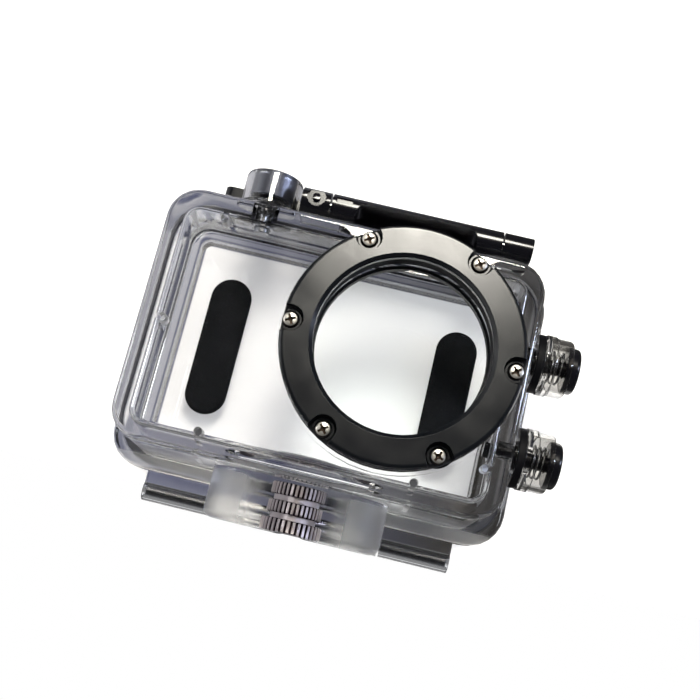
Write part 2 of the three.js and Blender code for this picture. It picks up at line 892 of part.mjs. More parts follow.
function lensRing() {
  const clampRadius = windowRadius + fit;
  const profile = [
    [ringBoreRadius, ringClampZ],
    [clampRadius, ringClampZ],
    [clampRadius, ringLowZ],
    [ringRadius, ringLowZ],
    [ringRadius, ringTopZ - ringOuterRound],
    [ringRadius - ringOuterRound * (1 - Math.SQRT1_2), ringTopZ - ringOuterRound * (1 - Math.SQRT1_2)],
    [ringRadius - ringOuterRound, ringTopZ],
    [ringBoreRadius + ringInnerChamfer, ringTopZ],
    [ringBoreRadius, ringTopZ - ringInnerChamfer],
    [ringBoreRadius, ringClampZ],
  ];
  const body = turned(profile, largeSides);
  const pocketHigh = ringTopZ + overrun;
  const tools = screwPlaces().flatMap(({ angle }) => {
    const pocket = disc(pocketRadius, pocketFloorZ, pocketHigh, smallSides);
    pocket.translate(screwCircleRadius, 0, 0);
    const mouth = boxBetween(
      new THREE.Vector3(screwCircleRadius, -pocketRadius, pocketFloorZ),
      new THREE.Vector3(ringRadius + overrun, pocketRadius, pocketHigh),
    );
    const hole = disc(screwShankRadius + screwHoleGap, ringLowZ - overrun, pocketHigh, smallSides);
    hole.translate(screwCircleRadius, 0, 0);
    return [pocket, mouth, hole].map((form) => form.rotateZ(angle));
  });
  return join(cut(body, ...tools), pocketRims());
}

// A small pan head screw with a cross recess, its head seated at height zero
function ringScrew() {
  const round = screwHeadRound;
  const body = turned([
    [0, -screwShankLength],
    [screwShankRadius, -screwShankLength],
    [screwShankRadius, 0],
    [screwHeadRadius, 0],
    [screwHeadRadius, screwHeadHeight - round],
    [screwHeadRadius - round, screwHeadHeight],
    [0, screwHeadHeight],
  ], smallSides);
  const arm = new THREE.Vector3(crossLength / 2, crossWidth / 2, screwHeadHeight + overrun);
  const low = new THREE.Vector3(-crossLength / 2, -crossWidth / 2, screwHeadHeight - crossDepth);
  const slot = boxBetween(low, arm);
  return cut(body, slot, slot.clone().rotateZ(Math.PI / 2));
}

// Back door
function doorPlate() {
  return softPrism(flange, 0, doorThickness, doorRound, doorRound / 2);
}

function doorLip() {
  const lip = softPrism(lipOuter, doorFloor - overrun, lipTopZ, 0, lipThickness / 4);
  return cut(lip, prism(lipInner, doorFloor - 2 * overrun, lipTopZ + overrun));
}

function doorGroove() {
  const tool = prism(grooveOuter, doorFloor, doorThickness + overrun);
  return cut(tool, prism(grooveInner, doorFloor - overrun, doorThickness + 2 * overrun));
}

function catchRidge() {
  const shape = new THREE.Shape();
  const top = catchCrestY - catchRise / 2;
  shape.moveTo(flange.halfY - doorRound, catchBackZ);
  shape.lineTo(top, catchBackZ);
  shape.lineTo(catchCrestY, catchBackZ + catchRise / 2);
  shape.lineTo(catchCrestY, catchBackZ + catchThickness - catchRise / 2);
  shape.lineTo(top, catchBackZ + catchThickness);
  shape.lineTo(flange.halfY - doorRound, catchBackZ + catchThickness);
  return drawnAlongX(shape, leverLeftX + catchMargin, leverRightX - catchMargin);
}

function doorHinge() {
  const pieces = [-1, 1].map((side) => {
    const xs = [side * doorKnuckleX, side * hingeHalfLength].sort((a, b) => a - b);
    const plateLow = hingeZ - hingePlateThickness / 2;
    const plate = boxBetween(
      new THREE.Vector3(xs[0], hingeY, plateLow),
      new THREE.Vector3(xs[1], -flange.halfY + hingePlateInset, plateLow + hingePlateThickness),
    );
    return join(plate, rodAlongX(hingeRadius, hingeY, hingeZ, xs[0], xs[1], smallSides));
  });
  return join(...pieces);
}

function backDoor() {
  const recess = prism(lipInner, doorFloor, doorThickness + overrun);
  const pan = cut(doorPlate(), recess, doorGroove());
  const end = hingeHalfLength + overrun;
  const pinBore = rodAlongX(hingePinRadius + runningGap, hingeY, hingeZ, -end, end, smallSides);
  return cut(join(pan, doorLip(), catchRidge(), doorHinge()), pinBore);
}

function doorGasket() {
  const inner = grown(grooveInner, (grooveWidth - gasketWidth) / 2);
  const low = doorFloor + sealGap;
  const high = seamZ - sealGap;
  const frame = prism(grown(inner, gasketWidth), low, high);
  return cut(frame, prism(inner, low - overrun, high + overrun));
}

function pad(side) {
  const outline = roundedBar(padWidth / 2, padLength / 2);
  const low = doorFloor + sealGap;
  const form = softPrism(outline, low, low + padThickness, 0, padRound);
  return solidOf(form.translate(side * padSpread, -padDrop, 0));
}

function hingePin() {
  const end = hingeHalfLength - hingePinInset;
  return solidOf(rodAlongX(hingePinRadius, hingeY, hingeZ, -end, end, smallSides));
}

// Latch
function knuckleShape(footY, footZ) {
  const shape = new THREE.Shape();
  shape.moveTo(footY, footZ);
  shape.lineTo(pivotY + knuckleRadius * 0.5, footZ);
  shape.lineTo(pivotY + knuckleRadius * Math.cos(Math.PI / 6), pivotZ - knuckleRadius / 2);
  shape.absarc(pivotY, pivotZ, knuckleRadius, -Math.PI / 6, Math.PI * 7 / 6, false);
  shape.lineTo(footY, pivotZ - knuckleRadius);
  shape.closePath();
  return shape;
}

function bracketBore(lowX, highX) {
  return rodAlongX(latchPinRadius + runningGap, pivotY, pivotZ, lowX, highX, smallSides);
}

function latchBracket() {
  const footZ = landHigh - bracketMargin - knuckleRadius;
  const leftInner = latchLeftX + bracketKnuckleWidth;
  const rightInner = latchRightX - bracketKnuckleWidth;
  const left = drawnAlongX(knuckleShape(bracketLowY, footZ), latchLeftX, leftInner);
  const right = drawnAlongX(knuckleShape(bracketLowY, footZ), rightInner, latchRightX);
  const strip = boxBetween(
    new THREE.Vector3(latchLeftX + bracketEndInset, bracketLowY, landLow + bracketMargin),
    new THREE.Vector3(latchRightX - bracketEndInset, bracketHighY, caseDepth - bracketStripDrop),
  );
  const pegs = bracketPegXs().map((x) => (
    pegAt(x, pegRadius, bracketLowY - pegLength, bracketHighY - bracketThickness / 2)
  ));
  const leftBore = bracketBore(latchLeftX + latchPinCover, leftInner + overrun);
  const rightBore = bracketBore(rightInner - overrun, latchRightX - latchPinCover);
  return cut(join(left, right, strip, ...pegs), bracketDimple(), leftBore, rightBore);
}

// The lever's section from the pivot back over the case to the hook
function leverShape() {
  const hookTop = leverHighY + leverHookBulge;
  const recessTop = leverLowY + hookRecess;
  const noseFront = leverBackZ + hookNoseDepth;
  const recessFront = catchBackZ + catchThickness + hookClearance;
  const shape = new THREE.Shape();
  shape.moveTo(leverLowY, leverBackZ + leverEdge);
  shape.lineTo(leverLowY + leverEdge, leverBackZ);
  shape.lineTo(hookTop - leverEdge, leverBackZ);
  shape.lineTo(hookTop, leverBackZ + leverEdge);
  shape.lineTo(hookTop, recessFront);
  shape.lineTo(leverHighY, recessFront + leverHookBulge * 3);
  shape.lineTo(leverHighY, pivotZ - leverShoulder);
  shape.absarc(pivotY, pivotZ, knuckleRadius, 0, Math.PI * 7 / 6, false);
  shape.lineTo(leverLowY, pivotZ - leverShoulder);
  shape.lineTo(leverLowY, recessFront + hookRecess / 3);
  shape.lineTo(recessTop, recessFront);
  shape.lineTo(recessTop, noseFront + hookRecess / 3);
  shape.lineTo(leverLowY, noseFront);
  shape.closePath();
  return shape;
}

function fingerWing() {
  const shape = new THREE.Shape();
  const left = latchLeftX - wingReach;
  const right = leverLeftX + wingCorner;
  shape.moveTo(wingBackZ, right);
  shape.lineTo(wingBackZ, left + wingCorner);
  shape.absarc(wingBackZ + wingCorner, left + wingCorner, wingCorner, Math.PI, Math.PI * 3 / 2, false);
  shape.absarc(wingFrontZ - wingCorner, left + wingCorner, wingCorner, Math.PI * 3 / 2, Math.PI * 2, false);
  shape.lineTo(wingFrontZ, right);
  shape.closePath();
  const settings = { depth: leverThickness, bevelEnabled: false, curveSegments: cornerSteps };
  const wing = new THREE.ExtrudeGeometry(shape, settings).translate(0, 0, leverLowY).applyMatrix4(alongY);
  const ribs = [];
  for (let i = 0; i < wingRibs; i += 1) {
    const x = left + wingCorner + wingRibSpacing * i;
    ribs.push(boxBetween(
      new THREE.Vector3(x, leverHighY - overrun, wingBackZ + wingCorner),
      new THREE.Vector3(x + wingRibWidth, leverHighY + wingRibRise, wingFrontZ - wingCorner),
    ));
  }
  return join(wing, ...ribs);
}

// The lever's front is hollowed out between its two knuckles, down to a thin rim at the back
function leverTrough() {
  const lowX = leverLeftX + leverKnuckleWidth;
  const highX = leverRightX - leverKnuckleWidth;
  const highY = pivotY + knuckleRadius - troughRim;
  const outline = { halfX: (highX - lowX) / 2, halfY: troughReach / 2, corner: troughCorner };
  const tool = prism(outline, pivotZ - leverShoulder, pivotZ + 2 * knuckleRadius);
  return tool.translate((lowX + highX) / 2, highY - troughReach / 2, 0);
}

// A short slot along the top of the lever's left knuckle
function knuckleSlot() {
  return boxBetween(
    new THREE.Vector3(leverLeftX + slotMargin, pivotY + slotOffset, pivotZ + knuckleRadius - slotDepth),
    new THREE.Vector3(
      leverLeftX + leverKnuckleWidth - slotMargin,
      pivotY + slotOffset + slotWidth,
      pivotZ + knuckleRadius + overrun,
    ),
  );
}

// A round dimple with a peg in it, on the bracket's left knuckle
function bracketDimple() {
  const low = pivotZ + knuckleRadius - dimpleDepth;
  const tool = washer(dimplePegRadius, dimpleRadius, low, pivotZ + knuckleRadius + overrun, smallSides);
  return tool.translate(latchLeftX + bracketKnuckleWidth / 2, pivotY + dimpleOffset, 0);
}

function latchLever() {
  const body = drawnAlongX(leverShape(), leverLeftX, leverRightX);
  const leftBore = bracketBore(leverLeftX - overrun, leverLeftX + leverKnuckleWidth);
  const rightBore = bracketBore(leverRightX - leverKnuckleWidth, leverRightX + overrun);
  return cut(join(body, fingerWing()), leverTrough(), knuckleSlot(), leftBore, rightBore);
}

function latchPin(side) {
  const outer = side < 0 ? latchLeftX : latchRightX;
  const length = bracketKnuckleWidth + fit + leverKnuckleWidth - latchPinSetback;
  const start = outer - side * (latchPinCover + sealGap);
  const end = outer - side * length;
  const xs = [start, end].sort((a, b) => a - b);
  return solidOf(rodAlongX(latchPinRadius, pivotY, pivotZ, xs[0], xs[1], smallSides));
}

// Assembly
const housing = new THREE.Group();

function addPiece(group, name, form, finish) {
  const mesh = new THREE.Mesh(geometryOf(form), finish);
  mesh.name = name;
  group.add(mesh);
  return mesh;
}

addPiece(housing, 'front_shell', frontShell(), clearPlastic);
addPiece(housing, 'lens_window', lensWindow(), glass).position.set(portX, portY, 0);
addPiece(housing, 'lens_gasket', lensGasket(), blackRubber).position.set(portX, portY, 0);
addPiece(housing, 'lens_ring', lensRing(), satinBlack).position.set(portX, portY, 0);
screwPlaces().forEach(({ x, y }, i) => {
  const screw = addPiece(housing, `lens_ring_screw_${i + 1}`, ringScrew(), steel);
  screw.position.set(x, y, pocketFloorZ + sealGap);
});

const insert = addPiece(housing, 'tripod_insert', tripodInsert(), nickelBrass);
insert.position.set(0, 0, blockZ);
insert.rotation.setFromRotationMatrix(downY);

addPiece(housing, 'back_door', backDoor(), clearPlastic);
addPiece(housing, 'door_gasket', doorGasket(), silicone);
addPiece(housing, 'pad_left', pad(-1), foam);
addPiece(housing, 'pad_right', pad(1), foam);
addPiece(housing, 'hinge_pin', hingePin(), steel);

addPiece(housing, 'latch_bracket', latchBracket(), glossBlack);
addPiece(housing, 'latch_lever', latchLever(), glossBlack);
addPiece(housing, 'latch_pin_left', latchPin(-1), steel);
addPiece(housing, 'latch_pin_right', latchPin(1), steel);

buttons.forEach((button) => {
  const group = new THREE.Group();
  group.applyMatrix4(button.frame);
  addPiece(group, `${button.name}_collar`, buttonCollar(button), clearPlastic);
  addPiece(group, `${button.name}_seal`, buttonSeal(button), blackRubber);
  addPiece(group, `${button.name}_stem`, buttonStem(button), button.stemMaterial);
  addPiece(group, `${button.name}_cap`, buttonCap(button), button.capMaterial);
  addPiece(group, `${button.name}_spring`, buttonSpring(button), steel);
  addPiece(group, `${button.name}_o_ring`, buttonGlandRing(button), blackRubber);
  addPiece(group, `${button.name}_clip`, buttonClip(button), steel);
  housing.add(group);
});

export default housing;
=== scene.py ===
# %% [markdown]
# # An underwater housing for a small action camera
# The real object is a clear polycarbonate case of two halves. It lies on its back door, with a black
# clamp ring round the lens port, a black latch along the top wall and three sprung buttons.
# The CAD model gives every piece its place. This lesson gives each of them its finish, and makes again
# what a faceted solid can't show: rounded edges, foam, coils, screws and a knurled insert.

# %% Load the frame
import json
import math

import bmesh
import bpy
from mathutils import Matrix, Vector


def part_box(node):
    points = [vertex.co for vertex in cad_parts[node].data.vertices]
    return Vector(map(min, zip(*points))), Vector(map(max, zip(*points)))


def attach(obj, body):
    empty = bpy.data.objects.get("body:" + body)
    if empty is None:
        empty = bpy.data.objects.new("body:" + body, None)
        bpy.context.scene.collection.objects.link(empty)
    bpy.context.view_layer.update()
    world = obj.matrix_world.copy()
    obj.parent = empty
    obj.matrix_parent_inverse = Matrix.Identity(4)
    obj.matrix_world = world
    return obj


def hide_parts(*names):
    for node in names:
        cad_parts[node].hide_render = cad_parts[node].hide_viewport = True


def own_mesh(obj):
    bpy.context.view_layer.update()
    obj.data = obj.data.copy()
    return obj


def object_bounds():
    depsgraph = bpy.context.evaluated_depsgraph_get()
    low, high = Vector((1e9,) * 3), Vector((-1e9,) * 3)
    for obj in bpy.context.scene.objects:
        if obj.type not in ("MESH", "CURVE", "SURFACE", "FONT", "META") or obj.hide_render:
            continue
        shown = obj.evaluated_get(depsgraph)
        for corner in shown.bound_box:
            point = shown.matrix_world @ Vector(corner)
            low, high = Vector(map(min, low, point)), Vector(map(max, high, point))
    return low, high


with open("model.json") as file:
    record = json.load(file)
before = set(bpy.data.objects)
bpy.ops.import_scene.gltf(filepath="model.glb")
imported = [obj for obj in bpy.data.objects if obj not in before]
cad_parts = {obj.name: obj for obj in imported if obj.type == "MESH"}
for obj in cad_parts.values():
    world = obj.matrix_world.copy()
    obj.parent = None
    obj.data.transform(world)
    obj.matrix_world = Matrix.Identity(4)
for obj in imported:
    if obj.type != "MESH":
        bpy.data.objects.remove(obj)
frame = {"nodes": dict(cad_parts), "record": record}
cad_box = [list(corner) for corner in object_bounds()]
print("pieces of the CAD model:", len(frame["nodes"]))

# %% Millimetres, places and the body that each node rides on
MM = 0.001
bodies = frame["record"]["behaviour"]["bodies"]
body_of_node = {node: body for body, nodes in bodies.items() for node in nodes}


def corners_of(node):
    """A node's lowest and highest corner at rest."""
    low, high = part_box(node)
    return Vector(low), Vector(high)


ring_low, ring_high = corners_of("lens_ring")
port = (ring_low + ring_high) / 2
print("lens port centre, mm:", [round(value / MM, 1) for value in port])


# %% [markdown]
# ## The camera
# The photograph was taken from above the lower edge of the case, with the case turned in the picture.
# A fit of the case's corners and the six screws gave the angles and the distance, so this camera can
# stand where the real one stood. A 50 mm lens on a full frame is what the fit came out at.

# %% Camera
PHOTO_SIDE = 700
FOCAL_PIXELS = 983.0
SENSOR_WIDTH = 36.0
camera_place = Vector((10.1, -36.8, 200.9)) * MM
camera_turns = [math.radians(angle) for angle in (-12.07, -2.18, -13.18)]


def camera_rotation(turns):
    about_x = Matrix.Rotation(turns[0], 4, "X")
    about_y = Matrix.Rotation(turns[1], 4, "Y")
    about_z = Matrix.Rotation(turns[2], 4, "Z")
    return (about_z @ about_y @ about_x).transposed()


camera_data = bpy.data.cameras.new("photo_camera")
camera_data.sensor_width = SENSOR_WIDTH
camera_data.lens = FOCAL_PIXELS / PHOTO_SIDE * SENSOR_WIDTH
camera_data.clip_start = 1 * MM
camera = bpy.data.objects.new("photo_camera", camera_data)
camera.matrix_world = Matrix.Translation(camera_place) @ camera_rotation(camera_turns)
bpy.context.collection.objects.link(camera)
bpy.context.scene.camera = camera
print("lens, mm:", round(camera_data.lens, 2))


# %% [markdown]
# ## Helpers for materials
# Colours are written as hex values, as a paint chart gives them, and one function turns them to the
# linear values that Blender works in. Another adds a node to a tree. It sets the node's properties,
# sets each input to a value or links it to another node, and gives back the outputs. All patterns
# read a place on the piece itself, its Object coordinates, so that they stay on it when it moves.

# %% Colour and node helpers
# A Mix node has sockets for values and for colours, so they are told by their numbers.
SHARE = 0
FIRST_VALUE = 2
SECOND_VALUE = 3
FIRST_COLOUR = 6
SECOND_COLOUR = 7
MIXED_COLOUR = 2


def hex_colour(text):
    channels = [int(text[i:i + 2], 16) / 255 for i in (1, 3, 5)]
    linear = [c / 12.92 if c <= 0.04045 else ((c + 0.055) / 1.055) ** 2.4 for c in channels]
    return (*linear, 1.0)


def add_node(tree, kind, inputs=None, **properties):
    """Adds a node, sets or links its inputs, and returns its outputs."""
    node = tree.nodes.new(kind)
    for name, value in properties.items():
        setattr(node, name, value)
    for name, value in (inputs or {}).items():
        if isinstance(value, bpy.types.NodeSocket):
            tree.links.new(value, node.inputs[name])
        else:
            node.inputs[name].default_value = value
    return node.outputs


def new_material(name):
    material = bpy.data.materials.new(name)
    material.use_nodes = True
    tree = material.node_tree
    tree.nodes.clear()
    return material, tree, add_node(tree, "ShaderNodeTexCoord")["Object"]


def finish_material(tree, shader):
    add_node(tree, "ShaderNodeOutputMaterial", {"Surface": shader})


# %% [markdown]
# ## Patterns with real sizes
# Two small functions write a node's inputs in this object's own terms. One gives a noise blotches of
# a width in millimetres, with finer ones on top where detail is above zero. The other fades a value
# over a band: it is before at the band's first end, after at its second, and holds still beyond both.
# No surface is evenly polished, so a third function lets a roughness wander between two values.

# %% Blotches, bands and uneven polish
NOISE_MIDDLE = (0.3, 0.7)


def blotches(place, width_mm, detail):
    return {"Vector": place, "Scale": 1 / (width_mm * MM), "Detail": detail}


def fade(value, band, before=0.0, after=1.0):
    return {"Value": value, "From Min": band[0], "From Max": band[1], "To Min": before, "To Max": after}


def uneven(tree, place, width_mm, low, high, detail=3.0):
    patches = add_node(tree, "ShaderNodeTexNoise", blotches(place, width_mm, detail))["Fac"]
    return add_node(tree, "ShaderNodeMapRange", fade(patches, NOISE_MIDDLE, low, high))["Result"]


# %% [markdown]
# ## Clear polycarbonate
# The case is injection-moulded polycarbonate, polished in the tool, with an IOR of 1.58. It shows
# by its edges: light that goes in at a wall leaves somewhere else, so walls look grey and corners dark.
# Handling leaves a faint haze, which a noise gives to the roughness, and cooling leaves shallow waves.
# Lamps would cast a solid shadow through such a shader, so shadow rays see a tinted pane instead.

# %% Clear polycarbonate
POLYCARBONATE_IOR = 1.58
POLYCARBONATE_SHADOW = "#EDECEB"
CASE_TINT = "#F0F1F3"
COLLAR_TINT = "#ECEBE8"
CLEANEST_SHARE = 0.5
HAZE_WIDTH = 9.0
WAVE_WIDTH = 6.0
WAVE_DEPTH = 0.02 * MM
WAVE_STRENGTH = 0.1


def let_lamps_through(tree, shader, tint):
    pane = add_node(tree, "ShaderNodeBsdfTransparent", {"Color": hex_colour(tint)})[0]
    is_shadow = add_node(tree, "ShaderNodeLightPath")["Is Shadow Ray"]
    return add_node(tree, "ShaderNodeMixShader", {0: is_shadow, 1: shader, 2: pane})[0]


def clear_polycarbonate(name, tint, haze):
    material, tree, place = new_material(name)
    waves = add_node(tree, "ShaderNodeTexNoise", blotches(place, WAVE_WIDTH, detail=1.0))["Fac"]
    relief = {"Height": waves, "Distance": WAVE_DEPTH, "Strength": WAVE_STRENGTH}
    shader = add_node(tree, "ShaderNodeBsdfPrincipled", {
        "Base Color": hex_colour(tint),
        "Roughness": uneven(tree, place, HAZE_WIDTH, haze * CLEANEST_SHARE, haze),
        "IOR": POLYCARBONATE_IOR,
        "Transmission Weight": 1.0,
        "Normal": add_node(tree, "ShaderNodeBump", relief)["Normal"],
    })[0]
    finish_material(tree, let_lamps_through(tree, shader, POLYCARBONATE_SHADOW))
    return material


clear_case = clear_polycarbonate("clear_polycarbonate", CASE_TINT, haze=0.03)
clear_collar = clear_polycarbonate("clear_collar_polycarbonate", COLLAR_TINT, haze=0.02)
print("made:", clear_case.name, clear_collar.name)


# %% [markdown]
# ## The shell's own polycarbonate
# The same plastic, with grained places. One is the outside of the tripod block: the grain covers
# its two rounded ends and fades out towards the polished middle. The other is what stands inside the
# cavity, the camera ribs and the dome of the block, which the tool's core leaves matt. The bore of
# the lens port is coloured black, a painted shade for the dark that shows in it. Each place is worked out
# from the distance to the case's middle or to the port's axis, and a short fade softens its border.

# %% Places on the shell
BLOCK_MATT_ENDS = (9.0 * MM, 10.5 * MM)
BLOCK_HAZY_FLANKS = (5.5 * MM, 8.0 * MM)
BLOCK_OUTSIDE = (-24.6 * MM, -25.4 * MM)
MATT_END_SHARE = 0.4
CAVITY_SIDES = (32.9 * MM, 32.7 * MM)
CAVITY_ENDS = (21.1 * MM, 20.9 * MM)
CAVITY_ROOF = (23.9 * MM, 23.6 * MM)
BORE_WALL = (16.5 * MM, 16.3 * MM)
ACROSS_Y = (1, 0, 1)
ACROSS_Z = (1, 1, 0)


def matt_block_ends(tree, axes):
    off_middle = add_node(tree, "ShaderNodeMath", {0: axes["X"]}, operation="ABSOLUTE")[0]
    matt = add_node(tree, "ShaderNodeMapRange", fade(off_middle, BLOCK_MATT_ENDS, 0.0, MATT_END_SHARE))[0]
    flanks = fade(off_middle, BLOCK_HAZY_FLANKS, 0.0, 1 - MATT_END_SHARE)
    hazy = add_node(tree, "ShaderNodeMapRange", flanks)[0]
    at_ends = add_node(tree, "ShaderNodeMath", {0: matt, 1: hazy}, operation="ADD")[0]
    outside = add_node(tree, "ShaderNodeMapRange", fade(axes["Y"], BLOCK_OUTSIDE))[0]
    return add_node(tree, "ShaderNodeMath", {0: at_ends, 1: outside}, operation="MULTIPLY")[0]


def matt_in_cavity(tree, axes):
    share = add_node(tree, "ShaderNodeMapRange", fade(axes["Z"], CAVITY_ROOF))[0]
    for axis, wall in (("X", CAVITY_SIDES), ("Y", CAVITY_ENDS)):
        off_middle = add_node(tree, "ShaderNodeMath", {0: axes[axis]}, operation="ABSOLUTE")[0]
        within = add_node(tree, "ShaderNodeMapRange", fade(off_middle, wall))[0]
        share = add_node(tree, "ShaderNodeMath", {0: share, 1: within}, operation="MULTIPLY")[0]
    return share


def distance_from_line(tree, place, centre, across):
    """How far a place is from a line through centre; across is zero on the line's own axis."""
    flat = add_node(tree, "ShaderNodeVectorMath", {0: place, 1: across}, operation="MULTIPLY")[0]
    flat_centre = [value * kept for value, kept in zip(centre, across)]
    return add_node(tree, "ShaderNodeVectorMath", {0: flat, 1: flat_centre}, operation="DISTANCE")["Value"]


# %% Polycarbonate with grained places
GRAIN_WIDTH = 0.25
GRAIN_ROUGHNESS = 0.33
SHELL_HAZE = (0.015, 0.03)
SHELL_RELIEF_STRENGTH = 0.5


def shell_relief(tree, place, grained):
    """Waves all over, and the tool's grain where the shell is grained."""
    waves = add_node(tree, "ShaderNodeTexNoise", blotches(place, WAVE_WIDTH, detail=1.0))["Fac"]
    grain = add_node(tree, "ShaderNodeTexNoise", blotches(place, GRAIN_WIDTH, detail=1.0))["Fac"]
    grain = add_node(tree, "ShaderNodeMath", {0: grain, 1: grained}, operation="MULTIPLY")[0]
    height = {0: waves, 1: WAVE_STRENGTH, 2: grain}
    relief = {
        "Height": add_node(tree, "ShaderNodeMath", height, operation="MULTIPLY_ADD")[0],
        "Distance": WAVE_DEPTH,
        "Strength": SHELL_RELIEF_STRENGTH,
    }
    return add_node(tree, "ShaderNodeBump", relief)["Normal"]


def shell_polycarbonate():
    material, tree, place = new_material("shell_polycarbonate")
    axes = add_node(tree, "ShaderNodeSeparateXYZ", {"Vector": place})
    grained_places = {0: matt_block_ends(tree, axes), 1: matt_in_cavity(tree, axes)}
    grained = add_node(tree, "ShaderNodeMath", grained_places, operation="MAXIMUM")[0]
    rougher = {0: grained, 1: GRAIN_ROUGHNESS, 2: uneven(tree, place, HAZE_WIDTH, *SHELL_HAZE)}
    clear = add_node(tree, "ShaderNodeBsdfPrincipled", {
        "Base Color": hex_colour(CASE_TINT),
        "Roughness": add_node(tree, "ShaderNodeMath", rougher, operation="MULTIPLY_ADD")[0],
        "IOR": POLYCARBONATE_IOR,
        "Transmission Weight": 1.0,
        "Normal": shell_relief(tree, place, grained),
    })[0]
    # Painted shade: the bore of the lens port is coloured black, faded in by the distance from its axis.
    paint = {"Base Color": hex_colour("#07080B"), "Roughness": 0.5, "Specular IOR Level": 0.3}
    black = add_node(tree, "ShaderNodeBsdfPrincipled", paint)[0]
    from_port = distance_from_line(tree, place, port, ACROSS_Z)
    bore_painted_shade = add_node(tree, "ShaderNodeMapRange", fade(from_port, BORE_WALL))[0]
    coated = add_node(tree, "ShaderNodeMixShader", {0: bore_painted_shade, 1: clear, 2: black})[0]
    finish_material(tree, let_lamps_through(tree, coated, POLYCARBONATE_SHADOW))
    return material


shell_clear = shell_polycarbonate()
print("made:", shell_clear.name)


# %% [markdown]
# ## Window glass
# The lens window is flat, polished glass, so it is clearer and harder than the case.

# %% Window glass
GLASS_HAZE_WIDTH = 12.0
GLASS_HAZE = (0.0, 0.01)


def window_glass():
    material, tree, place = new_material("window_glass")
    shader = add_node(tree, "ShaderNodeBsdfPrincipled", {
        "Base Color": hex_colour("#F7FAFA"),
        "Roughness": uneven(tree, place, GLASS_HAZE_WIDTH, *GLASS_HAZE, detail=2.0),
        "IOR": 1.5,
        "Transmission Weight": 1.0,
    })[0]
    finish_material(tree, let_lamps_through(tree, shader, "#F4F6F6"))
    return material


clear_window = window_glass()
print("made:", clear_window.name)


# %% [markdown]
# ## Black plastics and rubbers
# The clamp ring is moulded in a satin black ABS: a fine spark-eroded grain breaks up the reflections.
# The floors of its screw pockets are matt, and the low rim round each screw head is satin again.
# The latch is the same plastic from a polished tool, so it mirrors the lamps along its edges, with
# shallow sink marks that make the highlights wander. The seals and the gasket are moulded rubber,
# which is duller. All of them are one recipe with other numbers.

# %% Black plastics and rubbers
SATIN_WIDTH = 5.0
SINK_WIDTH = 8.0
POCKET_FLOOR = (ring_high.z - 1.7 * MM, ring_high.z - 1.8 * MM)
POCKET_ROUGHNESS = 0.9


def moulded_black(name, colour, roughness, grain_mm, sink_mm, shine=0.5):
    """Roughness is its lowest and highest value, grain_mm a width and a depth, sink_mm a depth."""
    material, tree, place = new_material(name)
    grain_width, grain_depth = grain_mm
    grain = add_node(tree, "ShaderNodeTexNoise", blotches(place, grain_width, detail=2.0))["Fac"]
    sinks = add_node(tree, "ShaderNodeTexNoise", blotches(place, SINK_WIDTH, detail=0.0))["Fac"]
    sinks = add_node(tree, "ShaderNodeMath", {0: sinks, 1: sink_mm}, operation="MULTIPLY")[0]
    layers = {0: grain, 1: grain_depth, 2: sinks}
    height = add_node(tree, "ShaderNodeMath", layers, operation="MULTIPLY_ADD")[0]
    relief = {"Height": height, "Distance": 1 * MM, "Strength": 1.0}
    shader = add_node(tree, "ShaderNodeBsdfPrincipled", {
        "Base Color": hex_colour(colour),
        "Roughness": uneven(tree, place, SATIN_WIDTH, *roughness),
        "IOR": 1.52,
        "Specular IOR Level": shine,
        "Normal": add_node(tree, "ShaderNodeBump", relief)["Normal"],
    })[0]
    finish_material(tree, shader)
    return material


def matt_screw_pockets(material):
    """Makes the floors of the ring's screw pockets matt, over the roughness that it has."""
    tree = material.node_tree
    roughness = tree.nodes["Principled BSDF"].inputs["Roughness"]
    place = add_node(tree, "ShaderNodeTexCoord")["Object"]
    height = add_node(tree, "ShaderNodeSeparateXYZ", {"Vector": place})["Z"]
    matt = add_node(tree, "ShaderNodeMapRange", fade(height, POCKET_FLOOR, 0.0, POCKET_ROUGHNESS))[0]
    either = {0: matt, 1: roughness.links[0].from_socket}
    tree.links.new(add_node(tree, "ShaderNodeMath", either, operation="MAXIMUM")[0], roughness)


ring_black = moulded_black(
    "satin_moulded_abs", "#080A0E", roughness=(0.2, 0.26), grain_mm=(0.3, 0.002), sink_mm=0.02
)
matt_screw_pockets(ring_black)
latch_black = moulded_black(
    "polished_moulded_abs", "#0C0C10", roughness=(0.14, 0.22), grain_mm=(0.5, 0.001), sink_mm=0.03
)
rubber_black = moulded_black(
    "moulded_nitrile_rubber",
    "#060609",
    roughness=(0.5, 0.65),
    grain_mm=(0.4, 0.006),
    sink_mm=0.01,
    shine=0.1,
)
gasket_grey = moulded_black(
    "moulded_silicone_rubber", "#2B2D35", roughness=(0.45, 0.6), grain_mm=(0.4, 0.004), sink_mm=0.01
)
print("made:", ring_black.name, latch_black.name, rubber_black.name, gasket_grey.name)


# %% [markdown]
# ## Metals
# The pins, springs and screws are stainless steel, drawn or turned, and the insert is turned
# brass under a nickel plate. The shutter cap is steel under a black chrome. A metal keeps its colour
# in the reflection, so its base colour is pale. Drawing leaves lines along a wire or a pin, and
# turning leaves rings, too fine to show apart here, so a noise a few tenths of a millimetre wide
# varies the roughness instead.

# %% Metals
MARK_WIDTH = 0.3
MARK_DEPTH = 0.01 * MM


def turned_metal(name, colour, roughness, mark_strength, patch_width=0.6):
    """Roughness is its lowest and highest value, in patches whose width is in millimetres."""
    material, tree, place = new_material(name)
    marks = add_node(tree, "ShaderNodeTexNoise", blotches(place, MARK_WIDTH, detail=2.0))["Fac"]
    relief = {"Height": marks, "Distance": MARK_DEPTH, "Strength": mark_strength}
    shader = add_node(tree, "ShaderNodeBsdfPrincipled", {
        "Base Color": hex_colour(colour),
        "Metallic": 1.0,
        "Roughness": uneven(tree, place, patch_width, *roughness),
        "Normal": add_node(tree, "ShaderNodeBump", relief)["Normal"],
    })[0]
    finish_material(tree, shader)
    return material


